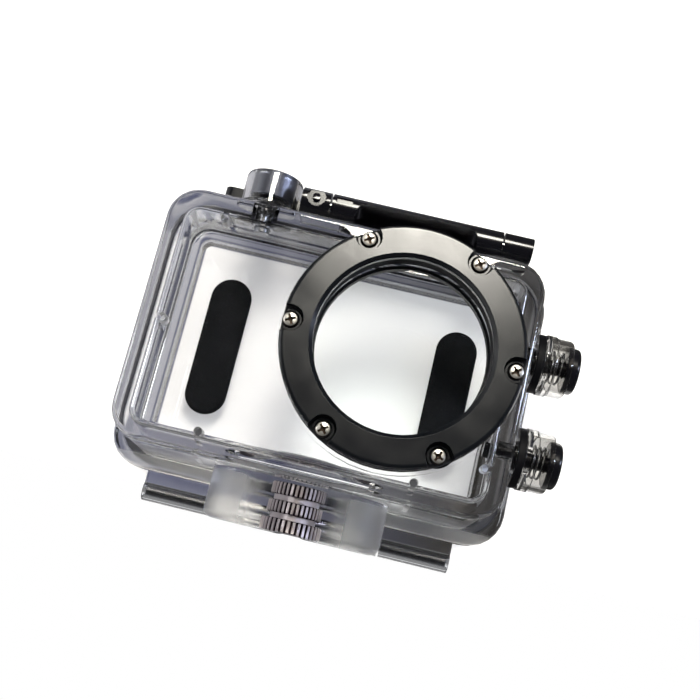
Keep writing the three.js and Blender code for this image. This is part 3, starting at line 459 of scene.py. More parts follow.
drawn_steel = turned_metal("drawn_stainless_steel", "#C2C3C6", (0.16, 0.24), mark_strength=0.05)
screw_steel = turned_metal("polished_stainless_steel", "#E4E0D8", (0.3, 0.42), mark_strength=0.5)
nickel_plate = turned_metal("nickel_plated_brass", "#C9C0C2", (0.28, 0.4), mark_strength=0.2)
dark_chrome = turned_metal("black_chromed_steel", "#7D8190", (0.27, 0.3), mark_strength=0.0, patch_width=4.0)
print("made:", drawn_steel.name, screw_steel.name, nickel_plate.name, dark_chrome.name)


# %% [markdown]
# ## Painted shade in the metals' recesses
# Little light finds its way into the cross recess of a screw or into the grooves of the knurling, and
# that shade is painted: each of these metals fades to a dark colour there. The recess is told by its
# depth under the top of the head, so the sides of the head get the painted shade too. The grooves are
# told by their distance from the insert's axis, less a step for the band at the mouth, which is the largest.

# %% Painted shade in recesses
SCREW_RECESS_DEPTH = (0.2, 0.3)
BAND_RADIUS = 5.1
MOUTH_BAND_RADIUS = 5.7
WAIST_RADIUS = 4.3
MOUTH_BAND_END = (2.4, 2.3)
FOOT_FADE = (0.05, 0.1)
TIP_FADE = (0.05, 0.3)
screw_low, screw_high = corners_of("lens_ring_screw_1")
insert_low, insert_high = corners_of("tripod_insert")
insert_centre = (insert_low + insert_high) / 2


# Painted shade: the share of dark below the top of a screw head.
def screw_recess_shade(tree, place):
    height = add_node(tree, "ShaderNodeSeparateXYZ", {"Vector": place})["Z"]
    band = [screw_high.z - depth * MM for depth in SCREW_RECESS_DEPTH]
    return add_node(tree, "ShaderNodeMapRange", fade(height, band))[0]


def knurl_groove_shade(tree, place):
    depth = add_node(tree, "ShaderNodeSeparateXYZ", {"Vector": place})["Y"]
    band_end = [insert_low.y + distance * MM for distance in MOUTH_BAND_END]
    at_mouth = fade(depth, band_end, 0.0, (MOUTH_BAND_RADIUS - BAND_RADIUS) * MM)
    foot = [(WAIST_RADIUS + distance) * MM for distance in FOOT_FADE]
    tips = [(BAND_RADIUS - distance) * MM for distance in TIP_FADE]
    radii = {
        0: distance_from_line(tree, place, insert_centre, ACROSS_Y),
        1: add_node(tree, "ShaderNodeMapRange", at_mouth)[0],
    }
    radius = add_node(tree, "ShaderNodeMath", radii, operation="SUBTRACT")[0]
    over_waist = add_node(tree, "ShaderNodeMapRange", fade(radius, foot))[0]
    under_tips = add_node(tree, "ShaderNodeMapRange", fade(radius, tips))[0]
    return add_node(tree, "ShaderNodeMath", {0: over_waist, 1: under_tips}, operation="MULTIPLY")[0]


def paint_shade(material, share_of, dark):
    """Paints shade on a metal: fades its own colour to a dark one, by a share that depends on the place."""
    tree = material.node_tree
    place = add_node(tree, "ShaderNodeTexCoord")["Object"]
    colour = tree.nodes["Principled BSDF"].inputs["Base Color"]
    colours = {
        SHARE: share_of(tree, place),
        FIRST_COLOUR: tuple(colour.default_value),
        SECOND_COLOUR: hex_colour(dark),
    }
    tree.links.new(add_node(tree, "ShaderNodeMix", colours, data_type="RGBA")[MIXED_COLOUR], colour)


# Painted shade: the screws darken below the top of the head, in the cross recess and down the sides.
paint_shade(screw_steel, screw_recess_shade, "#3A312A")
# Painted shade in the grooves of the knurling, between the teeth.
paint_shade(nickel_plate, knurl_groove_shade, "#2A1F24")
print("darkened:", screw_steel.name, nickel_plate.name)


# %% [markdown]
# ## Foam
# The two pads are closed-cell foam with a cloth face. It scatters light at its fibres, so it is
# rough all over with a little sheen, and its weave is a few tenths of a millimetre wide.

# %% Foam with a cloth face
WEAVE_WIDTH = 0.5
WEAVE_DEPTH = 0.12 * MM
FADED_PATCH_WIDTH = 4.0


def cloth_faced_foam():
    material, tree, place = new_material("cloth_faced_foam")
    cells = add_node(tree, "ShaderNodeTexVoronoi", {"Vector": place, "Scale": 1 / (WEAVE_WIDTH * MM)})
    patches = add_node(tree, "ShaderNodeTexNoise", blotches(place, FADED_PATCH_WIDTH, detail=3.0))["Fac"]
    colours = {SHARE: patches, FIRST_COLOUR: hex_colour("#0E0F11"), SECOND_COLOUR: hex_colour("#17181A")}
    relief = {"Height": cells["Distance"], "Distance": WEAVE_DEPTH, "Strength": 1.0}
    shader = add_node(tree, "ShaderNodeBsdfPrincipled", {
        "Base Color": add_node(tree, "ShaderNodeMix", colours, data_type="RGBA")[MIXED_COLOUR],
        "Roughness": 0.9,
        "Sheen Weight": 0.02,
        "Sheen Roughness": 0.4,
        "Specular IOR Level": 0.08,
        "Normal": add_node(tree, "ShaderNodeBump", relief)["Normal"],
    })[0]
    finish_material(tree, shader)
    return material


foam = cloth_faced_foam()
print("made:", foam.name)


# %% [markdown]
# ## Finishing a moulded or turned piece
# No moulded edge is sharp, and it is the rounded edge that catches the light. A copy of the CAD node
# is welded, its flat faces are put back together, a Bevel modifier rounds its edges, and faces that
# meet at a shallow angle are shaded as one smooth surface. A Weighted Normal modifier then keeps the
# large flat walls flat in the shading, so that what is seen through them stays straight. The copy
# stands for the node.

# %% Copy, shade and hand over a piece
SMOOTH_ANGLE = math.radians(32)
FLAT_ANGLE = math.radians(1.0)
WELD_REACH = 0.002 * MM


def as_object(mesh):
    piece = bpy.data.objects.new(mesh.name, mesh)
    bpy.context.collection.objects.link(piece)
    return piece


def welded_copy(node, name):
    mesh = frame["nodes"][node].data.copy()
    mesh.name = name
    work = bmesh.new()
    work.from_mesh(mesh)
    bmesh.ops.remove_doubles(work, verts=work.verts, dist=WELD_REACH)
    bmesh.ops.dissolve_limit(work, angle_limit=FLAT_ANGLE, verts=work.verts, edges=work.edges)
    work.to_mesh(mesh)
    work.free()
    return as_object(mesh)


def shade_smooth(mesh, angle=SMOOTH_ANGLE):
    work = bmesh.new()
    work.from_mesh(mesh)
    for face in work.faces:
        face.smooth = True
    for edge in work.edges:
        edge.smooth = len(edge.link_faces) == 2 and edge.calc_face_angle(0.0) < angle
    work.to_mesh(mesh)
    work.free()


def settled(piece):
    """Turns the piece's modifiers into plain mesh."""
    graph = bpy.context.evaluated_depsgraph_get()
    mesh = bpy.data.meshes.new_from_object(piece.evaluated_get(graph))
    mesh.name = piece.data.name
    piece.modifiers.clear()
    piece.data = mesh
    return piece


def painted(piece, material):
    piece.data.materials.clear()
    piece.data.materials.append(material)
    for face in piece.data.polygons:
        face.material_index = 0


def stand_for(piece, *nodes):
    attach(piece, body_of_node[nodes[0]])
    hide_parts(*nodes)


# %% [markdown]
# ## Two touches on the shell
# The insert is moulded in, so the plastic follows the metal and no gap of air shows round it. The
# CAD has a plain pocket there, and its walls are drawn in under the metal's surface. The camera ribs
# run on to the flange in the CAD and end close under the front wall in the photograph, so their ends
# are lifted. Both move vertices that are already there.

# %% Grip the insert and shorten the ribs
POCKET_MARGIN = 0.3
POCKET_MOUTH_MARGIN = 0.2
GRIPPED_RADIUS = 3.8
GRIPPED_END = 0.6
GRIPPED_MOUTH = 0.03
MOUTH_SHRINK = 0.99
RIB_END = 8.7
RIB_SEEN_END = 20.5
RIB_END_SLACK = 0.05
DOME_HALF_WIDTH = 16
CAVITY_HALF_WIDTH = 33.1
CAVITY_HALF_HEIGHT = 21.3


def mould_onto_insert(mesh):
    """Draws the pocket for the insert in under the metal's surface, as the plastic grips the metal."""
    axis_x = insert_centre.x
    axis_z = insert_centre.z
    pocket_radius = (insert_high.z - insert_low.z) / 2 + POCKET_MARGIN * MM
    pocket_mouth = insert_low.y - POCKET_MOUTH_MARGIN * MM
    pocket_end = insert_high.y + POCKET_MARGIN * MM
    gripped_mouth = insert_low.y + GRIPPED_MOUTH * MM
    gripped_end = insert_high.y - GRIPPED_END * MM
    for vertex in mesh.vertices:
        place = vertex.co
        out = Vector((place.x - axis_x, 0, place.z - axis_z))
        if out.length > pocket_radius or not pocket_mouth < place.y < pocket_end:
            continue
        on_wall = out.length > pocket_radius - POCKET_MARGIN * MM
        reach = MOUTH_SHRINK * out.length if on_wall else GRIPPED_RADIUS * MM
        depth = gripped_end if place.y > insert_centre.y else gripped_mouth
        out = out.normalized() * reach
        vertex.co = Vector((axis_x + out.x, depth, axis_z + out.z))


def shorten_ribs(mesh):
    """Ends the camera ribs close under the front wall, where the photograph shows them."""
    for vertex in mesh.vertices:
        place = vertex.co
        at_rib_end = abs(place.z - RIB_END * MM) < RIB_END_SLACK * MM
        off_dome = abs(place.x) > DOME_HALF_WIDTH * MM or place.y > 0
        in_cavity = abs(place.x) < CAVITY_HALF_WIDTH * MM and abs(place.y) < CAVITY_HALF_HEIGHT * MM
        if at_rib_end and off_dome and in_cavity:
            place.z = RIB_SEEN_END * MM


# %% Rounded copy of a node
EDGE_SEGMENTS = 3


def round_edges(piece, edge_mm):
    bevel = piece.modifiers.new("edges", "BEVEL")
    bevel.width = edge_mm * MM
    bevel.segments = EDGE_SEGMENTS
    bevel.limit_method = "ANGLE"
    bevel.angle_limit = SMOOTH_ANGLE
    bevel.use_clamp_overlap = True
    settled(piece)


def even_normals(piece):
    weigh = piece.modifiers.new("even_normals", "WEIGHTED_NORMAL")
    weigh.mode = "FACE_AREA"
    weigh.keep_sharp = True
    settled(piece)


def rounded(node, material, edge_mm):
    piece = welded_copy(node, f"finished_{node}")
    if node == "front_shell":
        mould_onto_insert(piece.data)
        shorten_ribs(piece.data)
    if edge_mm > 0:
        round_edges(piece, edge_mm)
    shade_smooth(piece.data)
    even_normals(piece)
    painted(piece, material)
    stand_for(piece, node)
    return piece


# %% [markdown]
# ## The rigid pieces
# Each piece gets its material and the edge radius, in millimetres, that such a moulding or turning
# has. An O-ring is round already and has no edge.

# %% Finish the rigid pieces
finishes = {
    "front_shell": (shell_clear, 0.25),
    "back_door": (clear_case, 0.25),
    "lens_window": (clear_window, 0.15),
    "lens_gasket": (rubber_black, 0.3),
    "lens_ring": (ring_black, 0.3),
    "door_gasket": (gasket_grey, 0.3),
    "hinge_pin": (drawn_steel, 0.2),
    "latch_bracket": (latch_black, 0.3),
    "latch_lever": (latch_black, 0.35),
    "latch_pin_left": (drawn_steel, 0.2),
    "latch_pin_right": (drawn_steel, 0.2),
}
for button in ("shutter", "upper_side", "lower_side"):
    finishes[f"{button}_collar"] = (clear_collar, 0.25)
    finishes[f"{button}_seal"] = (rubber_black, 0.25)
    finishes[f"{button}_stem"] = (latch_black, 0.2)
    finishes[f"{button}_o_ring"] = (rubber_black, 0.0)
    finishes[f"{button}_clip"] = (drawn_steel, 0.1)
    finishes[f"{button}_cap"] = (latch_black, 0.3)
finishes["shutter_cap"] = (dark_chrome, 0.3)
finishes["shutter_o_ring"] = (clear_collar, 0.0)
finishes["shutter_stem"] = (drawn_steel, 0.2)
for node, (material, edge) in finishes.items():
    piece = rounded(node, material, edge)
    print(node, "faces:", len(piece.data.polygons))


# %% [markdown]
# ## Foam pads
# Each pad is a stadium cut from sheet foam, so its top edge is rounded over by the die and its face
# bulges a little. It is a grid of rings that shrink towards the middle while they rise.

# %% Foam pads
PAD_STEPS = 16
PAD_RINGS = 10
PAD_FOOT_INSET = 0.2
PAD_EDGE_INSET = 0.9
PAD_WALL_SHARE = 0.5
PAD_EDGE_SHARE = 0.42
PAD_CROWN_INSET_SHARE = 0.55
PAD_CROWN_SHARE = 0.98
PAD_SMOOTH_ANGLE = math.radians(50)
MERGE_REACH = 0.001 * MM


def stadium_ring(half_width, half_length, shrink, height, centre):
    points = []
    radius = half_width - shrink
    for half, sign in ((0, 1), (1, -1)):
        for step in range(PAD_STEPS + 1):
            angle = math.pi * (half + step / PAD_STEPS)
            x = radius * math.cos(angle)
            y = sign * (half_length - half_width) + radius * math.sin(angle)
            points.append(centre + Vector((x, y, height)))
    return points


def pad_rings(low, high):
    half_width = (high.x - low.x) / 2
    half_length = (high.y - low.y) / 2
    thickness = high.z - low.z
    centre = Vector(((low.x + high.x) / 2, (low.y + high.y) / 2, low.z))
    levels = [(PAD_FOOT_INSET * MM, 0)]
    for step in range(PAD_RINGS + 1):
        angle = step / PAD_RINGS * math.pi / 2
        inset = PAD_EDGE_INSET * MM * (1 - math.cos(angle))
        levels.append((inset, thickness * PAD_WALL_SHARE + thickness * PAD_EDGE_SHARE * math.sin(angle)))
    levels.append((half_width * PAD_CROWN_INSET_SHARE, thickness * PAD_CROWN_SHARE))
    return [stadium_ring(half_width, half_length, inset, height, centre) for inset, height in levels]


def bridge(work, lower, upper):
    """Faces between two rings of vertices; a ring may be a single point."""
    count = max(len(lower), len(upper))
    for i in range(count):
        j = (i + 1) % count
        corners = [lower[i % len(lower)], lower[j % len(lower)]]
        corners += [upper[j % len(upper)], upper[i % len(upper)]]
        work.faces.new(list(dict.fromkeys(corners)))


def closed_mesh(work, name):
    bmesh.ops.remove_doubles(work, verts=work.verts, dist=MERGE_REACH)
    bmesh.ops.recalc_face_normals(work, faces=work.faces)
    mesh = bpy.data.meshes.new(name)
    work.to_mesh(mesh)
    work.free()
    return mesh


def foam_pad(node):
    work = bmesh.new()
    rings = [[work.verts.new(point) for point in ring] for ring in pad_rings(*corners_of(node))]
    for lower, upper in zip(rings, rings[1:]):
        bridge(work, lower, upper)
    work.faces.new(list(reversed(rings[0])))
    work.faces.new(rings[-1])
    piece = as_object(closed_mesh(work, f"foam_{node}"))
    shade_smooth(piece.data, PAD_SMOOTH_ANGLE)
    painted(piece, foam)
    stand_for(piece, node)
    return piece


for node in ("pad_left", "pad_right"):
    piece = foam_pad(node)
    print(node, "faces:", len(piece.data.polygons))


# %% [markdown]
# ## Ring screws
# Six small pan head screws with a cross recess hold the ring. One screw is a turned profile with two
# slots cut by a Boolean, and Geometry Nodes set a copy on each place of the screw circle. Every copy
# is turned by its own angle, because no two screws stop at the same turn.

# %% Turned and cut shapes
def turned_mesh(name, profile_mm, sides):
    """A mesh from a profile of radii and heights; a radius of zero is a single point."""
    work = bmesh.new()
    angles = [2 * math.pi * i / sides for i in range(sides)]
    rings = []
    for radius, height in profile_mm:
        directions = [(math.cos(a), math.sin(a)) for a in angles] if radius > 0 else [(0, 0)]
        reach = radius * MM
        rings.append([work.verts.new((reach * x, reach * y, height * MM)) for x, y in directions])
    for lower, upper in zip(rings, rings[1:]):
        bridge(work, lower, upper)
    return closed_mesh(work, name)


def block_mesh(name, size_mm, centre_mm):
    work = bmesh.new()
    bmesh.ops.create_cube(work, size=1.0)
    for vertex in work.verts:
        scaled = [vertex.co[i] * size_mm[i] + centre_mm[i] for i in range(3)]
        vertex.co = Vector(scaled) * MM
    mesh = bpy.data.meshes.new(name)
    work.to_mesh(mesh)
    work.free()
    return mesh


def subtract(piece, tool):
    modifier = piece.modifiers.new("cut", "BOOLEAN")
    modifier.operation = "DIFFERENCE"
    modifier.solver = "EXACT"
    modifier.object = tool
    settled(piece)
    bpy.data.objects.remove(tool)


# %% One screw
HEAD_RADIUS = 1.4
HEAD_HEIGHT = 1.1
HEAD_RIM = 0.55
HEAD_SHOULDER = 0.45
HEAD_DOME = 0.4
SHOULDER_STEPS = 6
CROWN = [(0.9, 0.98), (0.5, 1.06), (0, HEAD_HEIGHT)]
SHANK_RADIUS = 0.8
TIP_RADIUS = 0.55
TIP_LENGTH = 0.5
ARM_LENGTH = 2.0
ARM_WIDTH = 0.46
ARM_HEIGHT = 1.4
ARM_RISE = 0.15
CROSS_MIDDLE = [(0, 0.1), (0.5, 0.6), (0.5, 1.6), (0, 1.6)]
SCREW_SIDES = 32


def screw_profile(shank_length):
    profile = [(0, -shank_length), (TIP_RADIUS, -shank_length)]
    profile += [(SHANK_RADIUS, -shank_length + TIP_LENGTH), (SHANK_RADIUS, 0)]
    profile += [(HEAD_RADIUS, 0), (HEAD_RADIUS, HEAD_RIM)]
    for step in range(1, SHOULDER_STEPS):
        angle = step / SHOULDER_STEPS * math.pi / 2
        radius = HEAD_RADIUS - HEAD_SHOULDER + HEAD_SHOULDER * math.cos(angle)
        profile.append((radius, HEAD_RIM + HEAD_DOME * math.sin(angle)))
    return profile + CROWN


shank = (screw_high.z - screw_low.z) / MM - HEAD_HEIGHT
screw = as_object(turned_mesh("one_screw", screw_profile(shank), SCREW_SIDES))
for size in ((ARM_LENGTH, ARM_WIDTH, ARM_HEIGHT), (ARM_WIDTH, ARM_LENGTH, ARM_HEIGHT)):
    subtract(screw, as_object(block_mesh("cross_arm", size, (0, 0, HEAD_HEIGHT + ARM_RISE))))
subtract(screw, as_object(turned_mesh("cross_middle", CROSS_MIDDLE, SCREW_SIDES // 2)))
shade_smooth(screw.data)
print("one screw, faces:", len(screw.data.polygons))


# %% [markdown]
# ## Trees of Geometry Nodes
# A tree has named inputs for its sizes, and a modifier sets them by their identifiers. It ends in
# Realize Instances, because an export drops instances, and in Set Material. The object that carries
# it is empty, and the result is turned into a plain mesh.

# %% Start, end and use a tree
def new_tree(name, inputs):
    """A tree, the identifiers of its inputs and the inputs themselves."""
    tree = bpy.data.node_groups.new(name, "GeometryNodeTree")
    identifiers = {}
    for label, (kind, value) in inputs.items():
        socket = tree.interface.new_socket(name=label, in_out="INPUT", socket_type=kind)
        if value is not None:
            socket.default_value = value
        identifiers[label] = socket.identifier
    tree.interface.new_socket(name="Geometry", in_out="OUTPUT", socket_type="NodeSocketGeometry")
    return tree, identifiers, add_node(tree, "NodeGroupInput")


def end_tree(tree, geometry, material):
    real = add_node(tree, "GeometryNodeRealizeInstances", {"Geometry": geometry})[0]
    coated = add_node(tree, "GeometryNodeSetMaterial", {"Geometry": real, "Material": material})[0]
    add_node(tree, "NodeGroupOutput", {0: coated})


def grown_from(tree, identifiers, values, name):
    carrier = as_object(bpy.data.meshes.new(name))
    modifier = carrier.modifiers.new("pattern", "NODES")
    modifier.node_group = tree
    for label, value in values.items():
        modifier[identifiers[label]] = value
    return settled(carrier)


# %% Six screws on their circle
SCREW_COUNT = 6
SCREW_TURN = 1.4
SCREW_SEED = 4


def screws_tree():
    tree, identifiers, given = new_tree("screws_on_a_circle", {
        "screw": ("NodeSocketObject", None),
        "count": ("NodeSocketInt", SCREW_COUNT),
        "circle radius": ("NodeSocketFloat", 20 * MM),
        "material": ("NodeSocketMaterial", None),
    })
    circle = {"Vertices": given["count"], "Radius": given["circle radius"]}
    turns = {0: (0, 0, -SCREW_TURN), 1: (0, 0, SCREW_TURN), "Seed": SCREW_SEED}
    copies = add_node(tree, "GeometryNodeInstanceOnPoints", {
        "Points": add_node(tree, "GeometryNodeMeshCircle", circle)[0],
        "Instance": add_node(tree, "GeometryNodeObjectInfo", {"Object": given["screw"]})["Geometry"],
        "Rotation": add_node(tree, "FunctionNodeRandomValue", turns, data_type="FLOAT_VECTOR")[0],
    })[0]
    end_tree(tree, copies, given["material"])
    return tree, identifiers


screw_centre = (screw_low + screw_high) / 2
circle_radius = (screw_centre.xy - port.xy).length
tree, identifiers = screws_tree()
values = {"screw": screw, "count": SCREW_COUNT, "circle radius": circle_radius, "material": screw_steel}
ring_screws = grown_from(tree, identifiers, values, "ring_screws")
ring_screws.data.transform(Matrix.Translation((port.x, port.y, screw_high.z - HEAD_HEIGHT * MM)))
stand_for(ring_screws, *[f"lens_ring_screw_{i + 1}" for i in range(SCREW_COUNT)])
bpy.data.objects.remove(screw)
print("screw circle radius, mm:", round(circle_radius / MM, 2))


# %% [markdown]
# ## Button springs
# Each button is pushed back by a coil of half-millimetre wire. A Spiral curve gives the turns, and
# a small circle swept along it gives the wire, so the tree needs only a few sizes. On the real case a spring
# gets shorter as its button goes in; this coil is made at its rest length and rides on its node's body.

# %% Springs
WIRE_RADIUS = 0.22 * MM
STEPS_IN_A_TURN = 32
WIRE_SIDES = 10
WIRE_SMOOTH_ANGLE = math.radians(60)
X = 0
Y = 1


def spring_tree():
    tree, identifiers, given = new_tree("coil_spring", {
        "turns": ("NodeSocketFloat", 3.0),
        "radius": ("NodeSocketFloat", 3 * MM),
        "height": ("NodeSocketFloat", 3 * MM),
        "wire radius": ("NodeSocketFloat", WIRE_RADIUS),
        "material": ("NodeSocketMaterial", None),
    })
    spiral = {
        "Resolution": STEPS_IN_A_TURN,
        "Rotations": given["turns"],
        "Start Radius": given["radius"],
        "End Radius": given["radius"],
        "Height": given["height"],
    }
    section = {"Resolution": WIRE_SIDES, "Radius": given["wire radius"]}
    wire = add_node(tree, "GeometryNodeCurveToMesh", {
        "Curve": add_node(tree, "GeometryNodeCurveSpiral", spiral)[0],
        "Profile Curve": add_node(tree, "GeometryNodeCurvePrimitiveCircle", section)[0],
        "Fill Caps": True,
    })[0]
    end_tree(tree, wire, given["material"])
    return tree, identifiers


def button_spring(button, axis, turns):
    low, high = corners_of(f"{button}_spring")
    centre = (low + high) / 2
    size = high - low
    length = size[axis] - 2 * WIRE_RADIUS
    radius = max(size[i] for i in range(3) if i != axis) / 2 - WIRE_RADIUS
    values = {"turns": turns, "radius": radius, "height": length, "wire radius": WIRE_RADIUS}
    coil = grown_from(spring, spring_inputs, {**values, "material": drawn_steel}, f"coil_{button}")
    along = [float(i == axis) for i in range(3)]
    upright = Vector((0, 0, 1)).rotation_difference(Vector(along))
    coil.data.transform(Matrix.Translation((0, 0, -length / 2)))
    coil.data.transform(Matrix.Translation(centre) @ upright.to_matrix().to_4x4())
    shade_smooth(coil.data, WIRE_SMOOTH_ANGLE)
    stand_for(coil, f"{button}_spring")
    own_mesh(coil)
    return coil


spring, spring_inputs = spring_tree()
for button, axis, turns in (("shutter", Y, 4.0), ("upper_side", X, 3.0), ("lower_side", X, 3.0)):
    coil = button_spring(button, axis, turns)
    print(button, "spring, faces:", len(coil.data.polygons))


# %% [markdown]
# ## The tripod insert
# The insert is turned from bar: three knurled bands that the plastic grips, and a quarter inch
# thread of twenty turns to the inch inside. The outside is a stack of toothed rings, and the bore
# is a grid whose radius follows the thread's helix.

# %% Knurled insert
THREAD_PITCH = 25.4 / 20
THREAD_RADIUS = 2.6
THREAD_DEPTH = 0.55
THREAD_RINGS = 46
THREAD_RING_STEP = 0.16
MOUTH_RADIUS = 3.3
BORE_END_WALL = 1.2
TEETH = 36
STEPS_IN_A_TOOTH = 8
STEPS_ON_A_TIP = 5
TOOTH_DEPTH = 0.5
BAND_LENGTH = 2.3
BAND_CHAMFER = 0.25
WAIST_LENGTH = 1.0
BAND_RADII = (MOUTH_BAND_RADIUS, BAND_RADIUS, BAND_RADIUS)
AROUND = STEPS_IN_A_TOOTH * TEETH


def insert_ring(work, radius_of, depth):
    """A ring of the insert, whose radius in millimetres may change with the step and the angle."""
    ring = []
    for i in range(AROUND):
        angle = 2 * math.pi * i / AROUND
        radius = radius_of(i, angle) * MM
        x = insert_centre.x + radius * math.cos(angle)
        z = insert_centre.z + radius * math.sin(angle)
        ring.append(work.verts.new((x, insert_low.y + depth * MM, z)))
    return ring


def smooth_radius(radius):
    return lambda i, angle: radius


def knurled_radius(radius):
    return lambda i, angle: radius - (TOOTH_DEPTH if i % STEPS_IN_A_TOOTH >= STEPS_ON_A_TIP else 0.0)


def thread_radius(depth):
    def radius(i, angle):
        turn = (depth / THREAD_PITCH + angle / (2 * math.pi)) % 1.0
        return THREAD_RADIUS + THREAD_DEPTH * abs(2 * turn - 1)
    return radius


def knurled_outside():
    """Depths and radii of the bands and of the waists between them, from the mouth inwards."""
    levels = []
    for index, radius in enumerate(BAND_RADII):
        start = index * (BAND_LENGTH + WAIST_LENGTH)
        end = start + BAND_LENGTH
        levels.append((start, knurled_radius(radius - BAND_CHAMFER)))
        levels.append((start + BAND_CHAMFER, knurled_radius(radius)))
        levels.append((end - BAND_CHAMFER, knurled_radius(radius)))
        levels.append((end, knurled_radius(radius - BAND_CHAMFER)))
        if index + 1 < len(BAND_RADII):
            levels.append((end, smooth_radius(WAIST_RADIUS)))
            levels.append((end + WAIST_LENGTH, smooth_radius(WAIST_RADIUS)))
    return levels


def threaded_inside(length):
    """Depths and radii of the closed end and of the thread, back to the mouth."""
    bore_end = length - BORE_END_WALL
    levels = [(length, smooth_radius(0.0)), (bore_end, smooth_radius(0.0))]
    for step in range(THREAD_RINGS):
        depth = bore_end - step * THREAD_RING_STEP
        levels.append((depth, thread_radius(depth)))
    return levels + [(0.0, smooth_radius(MOUTH_RADIUS))]


work = bmesh.new()
levels = knurled_outside() + threaded_inside((insert_high.y - insert_low.y) / MM)
rings = [insert_ring(work, radius_of, depth) for depth, radius_of in levels]
for lower, upper in zip(rings, rings[1:] + rings[:1]):
    bridge(work, lower, upper)
knurled_insert = as_object(closed_mesh(work, "knurled_insert"))
shade_smooth(knurled_insert.data)
painted(knurled_insert, nickel_plate)
stand_for(knurled_insert, "tripod_insert")
print("insert faces:", len(knurled_insert.data.polygons))


# %% [markdown]
# ## Floor, world and lamps
# The case lies on a white card of its own size, on a sheet. To the camera the sheet is white without
# an end, and it keeps the soft shadow. What is seen in metal and through plastic is the set itself:
# a white card with a dark edge, a grey mount and a white border round it, on a table whose tones are
# darkened towards the right and the front as painted shade. These tones give the walls and the edges
# of clear plastic their greys and their bright lines, as strips of black and white card do on a product
# table. The table ends at the hinge, so the door has room to swing down.

# %% Tones of the set
# A card is its middle in x, its half width and its half height, in millimetres.
CASE_CARD = (0, 32, 20.5)
CASE_CARD_EDGE = (0.0, 0.3 * MM)
CASE_CARD_TONE = 1.0
BUTTON_CARD = (48, 8, 18)
BUTTON_CARD_EDGE = (0.0, 2 * MM)
BUTTON_CARD_TONE = 0.85
# Painted shade: the sheet's tones darken towards the right and towards the front.
SHADE_TO_RIGHT = (-34 * MM, 40 * MM)
RIGHT_TONE = 0.12
SHADE_TO_FRONT = (-18 * MM, -24 * MM)
FRONT_TONE = 0.6
# Each pair is a distance from the card's edge in millimetres and the tone that the set has there.
TONES = [
    (0, 1.0),
    (0.3, 0.1),
    (1.3, 0.08),
    (1.6, 0.45),
    (2.8, 0.45),
    (3.1, 0.34),
    (4.3, 0.34),
    (4.6, 0.95),
    (6.2, 0.95),
    (6.8, 0.34),
    (60, 0.25),
]
TONE_REACH = TONES[-1][0]


def distance_off_card(tree, place, centre_x, half_width, half_height):
    """How far a place on the sheet lies beyond a card's edge; on the card it is zero."""
    steps = (
        ("SUBTRACT", (centre_x * MM, 0, 0)),
        ("ABSOLUTE", (0, 0, 0)),
        ("SUBTRACT", (half_width * MM, half_height * MM, 0)),
        ("MAXIMUM", (0, 0, 0)),
        ("MULTIPLY", ACROSS_Z),
    )
    beyond = place
    for operation, other in steps:
        beyond = add_node(tree, "ShaderNodeVectorMath", {0: beyond, 1: other}, operation=operation)[0]
    return add_node(tree, "ShaderNodeVectorMath", {0: beyond}, operation="LENGTH")["Value"]


def tone_off_card(tree, away):
    share = add_node(tree, "ShaderNodeMath", {0: away, 1: TONE_REACH * MM}, operation="DIVIDE")[0]
    tone = add_node(tree, "ShaderNodeValToRGB", {0: share})[0]
    elements = tone.node.color_ramp.elements
    while len(elements) < len(TONES):
        elements.new(1.0)
    for element, (distance, value) in zip(elements, TONES):
        element.position = distance / TONE_REACH
        element.color = (value, value, value, 1)
    return tone


def sheet_shade(tree, place, axes):
    off_card = distance_off_card(tree, place, *CASE_CARD)
    off_button_card = distance_off_card(tree, place, *BUTTON_CARD)
    tone = tone_off_card(tree, off_card)
    # Painted shade, darker towards the right and the front.
    for axis, band, darkest in (("X", SHADE_TO_RIGHT, RIGHT_TONE), ("Y", SHADE_TO_FRONT, FRONT_TONE)):
        light = add_node(tree, "ShaderNodeMapRange", fade(axes[axis], band, 1.0, darkest))[0]
        tone = add_node(tree, "ShaderNodeMath", {0: tone, 1: light}, operation="MULTIPLY")[0]
    on_card = fade(off_card, CASE_CARD_EDGE, CASE_CARD_TONE, 0.0)
    on_button_card = fade(off_button_card, BUTTON_CARD_EDGE, BUTTON_CARD_TONE, 0.0)
    for card_share in (on_card, on_button_card):
        paler = {0: tone, 1: add_node(tree, "ShaderNodeMapRange", card_share)[0]}
        tone = add_node(tree, "ShaderNodeMath", paler, operation="MAXIMUM")[0]
    return tone


# %% [markdown]
# ## What a ray sees
# Light Path tells what sent a ray. A ray from glass or from a mirroring surface sees the tones, the
# camera sees plain white, and a diffuse ray, which only gathers light, sees the sheet without its glow.

# %% Floor
SHEET_GLOW = 0.45
SHEET_HUE = (-30 * MM, 30 * MM)
SHEET_REACH = 1500
SHEET_FRONT = -30.5
SHEET_GAP = 0.05


def through_glass_or_mirrored(tree, path):
    rays = {0: path["Is Transmission Ray"], 1: path["Is Glossy Ray"]}
    return add_node(tree, "ShaderNodeMath", rays, operation="MAXIMUM")[0]


def shaded_part(tree, axes):
    """The dark that the tones fade to, tinted as painted shade: bluish to the left and warm to the right."""
    hue = add_node(tree, "ShaderNodeMix", {
        SHARE: add_node(tree, "ShaderNodeMapRange", fade(axes["X"], SHEET_HUE))[0],
        FIRST_COLOUR: hex_colour("#323C6A"),
        SECOND_COLOUR: hex_colour("#28241F"),
    }, data_type="RGBA")[MIXED_COLOUR]
    return add_node(tree, "ShaderNodeEmission", {"Color": hue})[0]


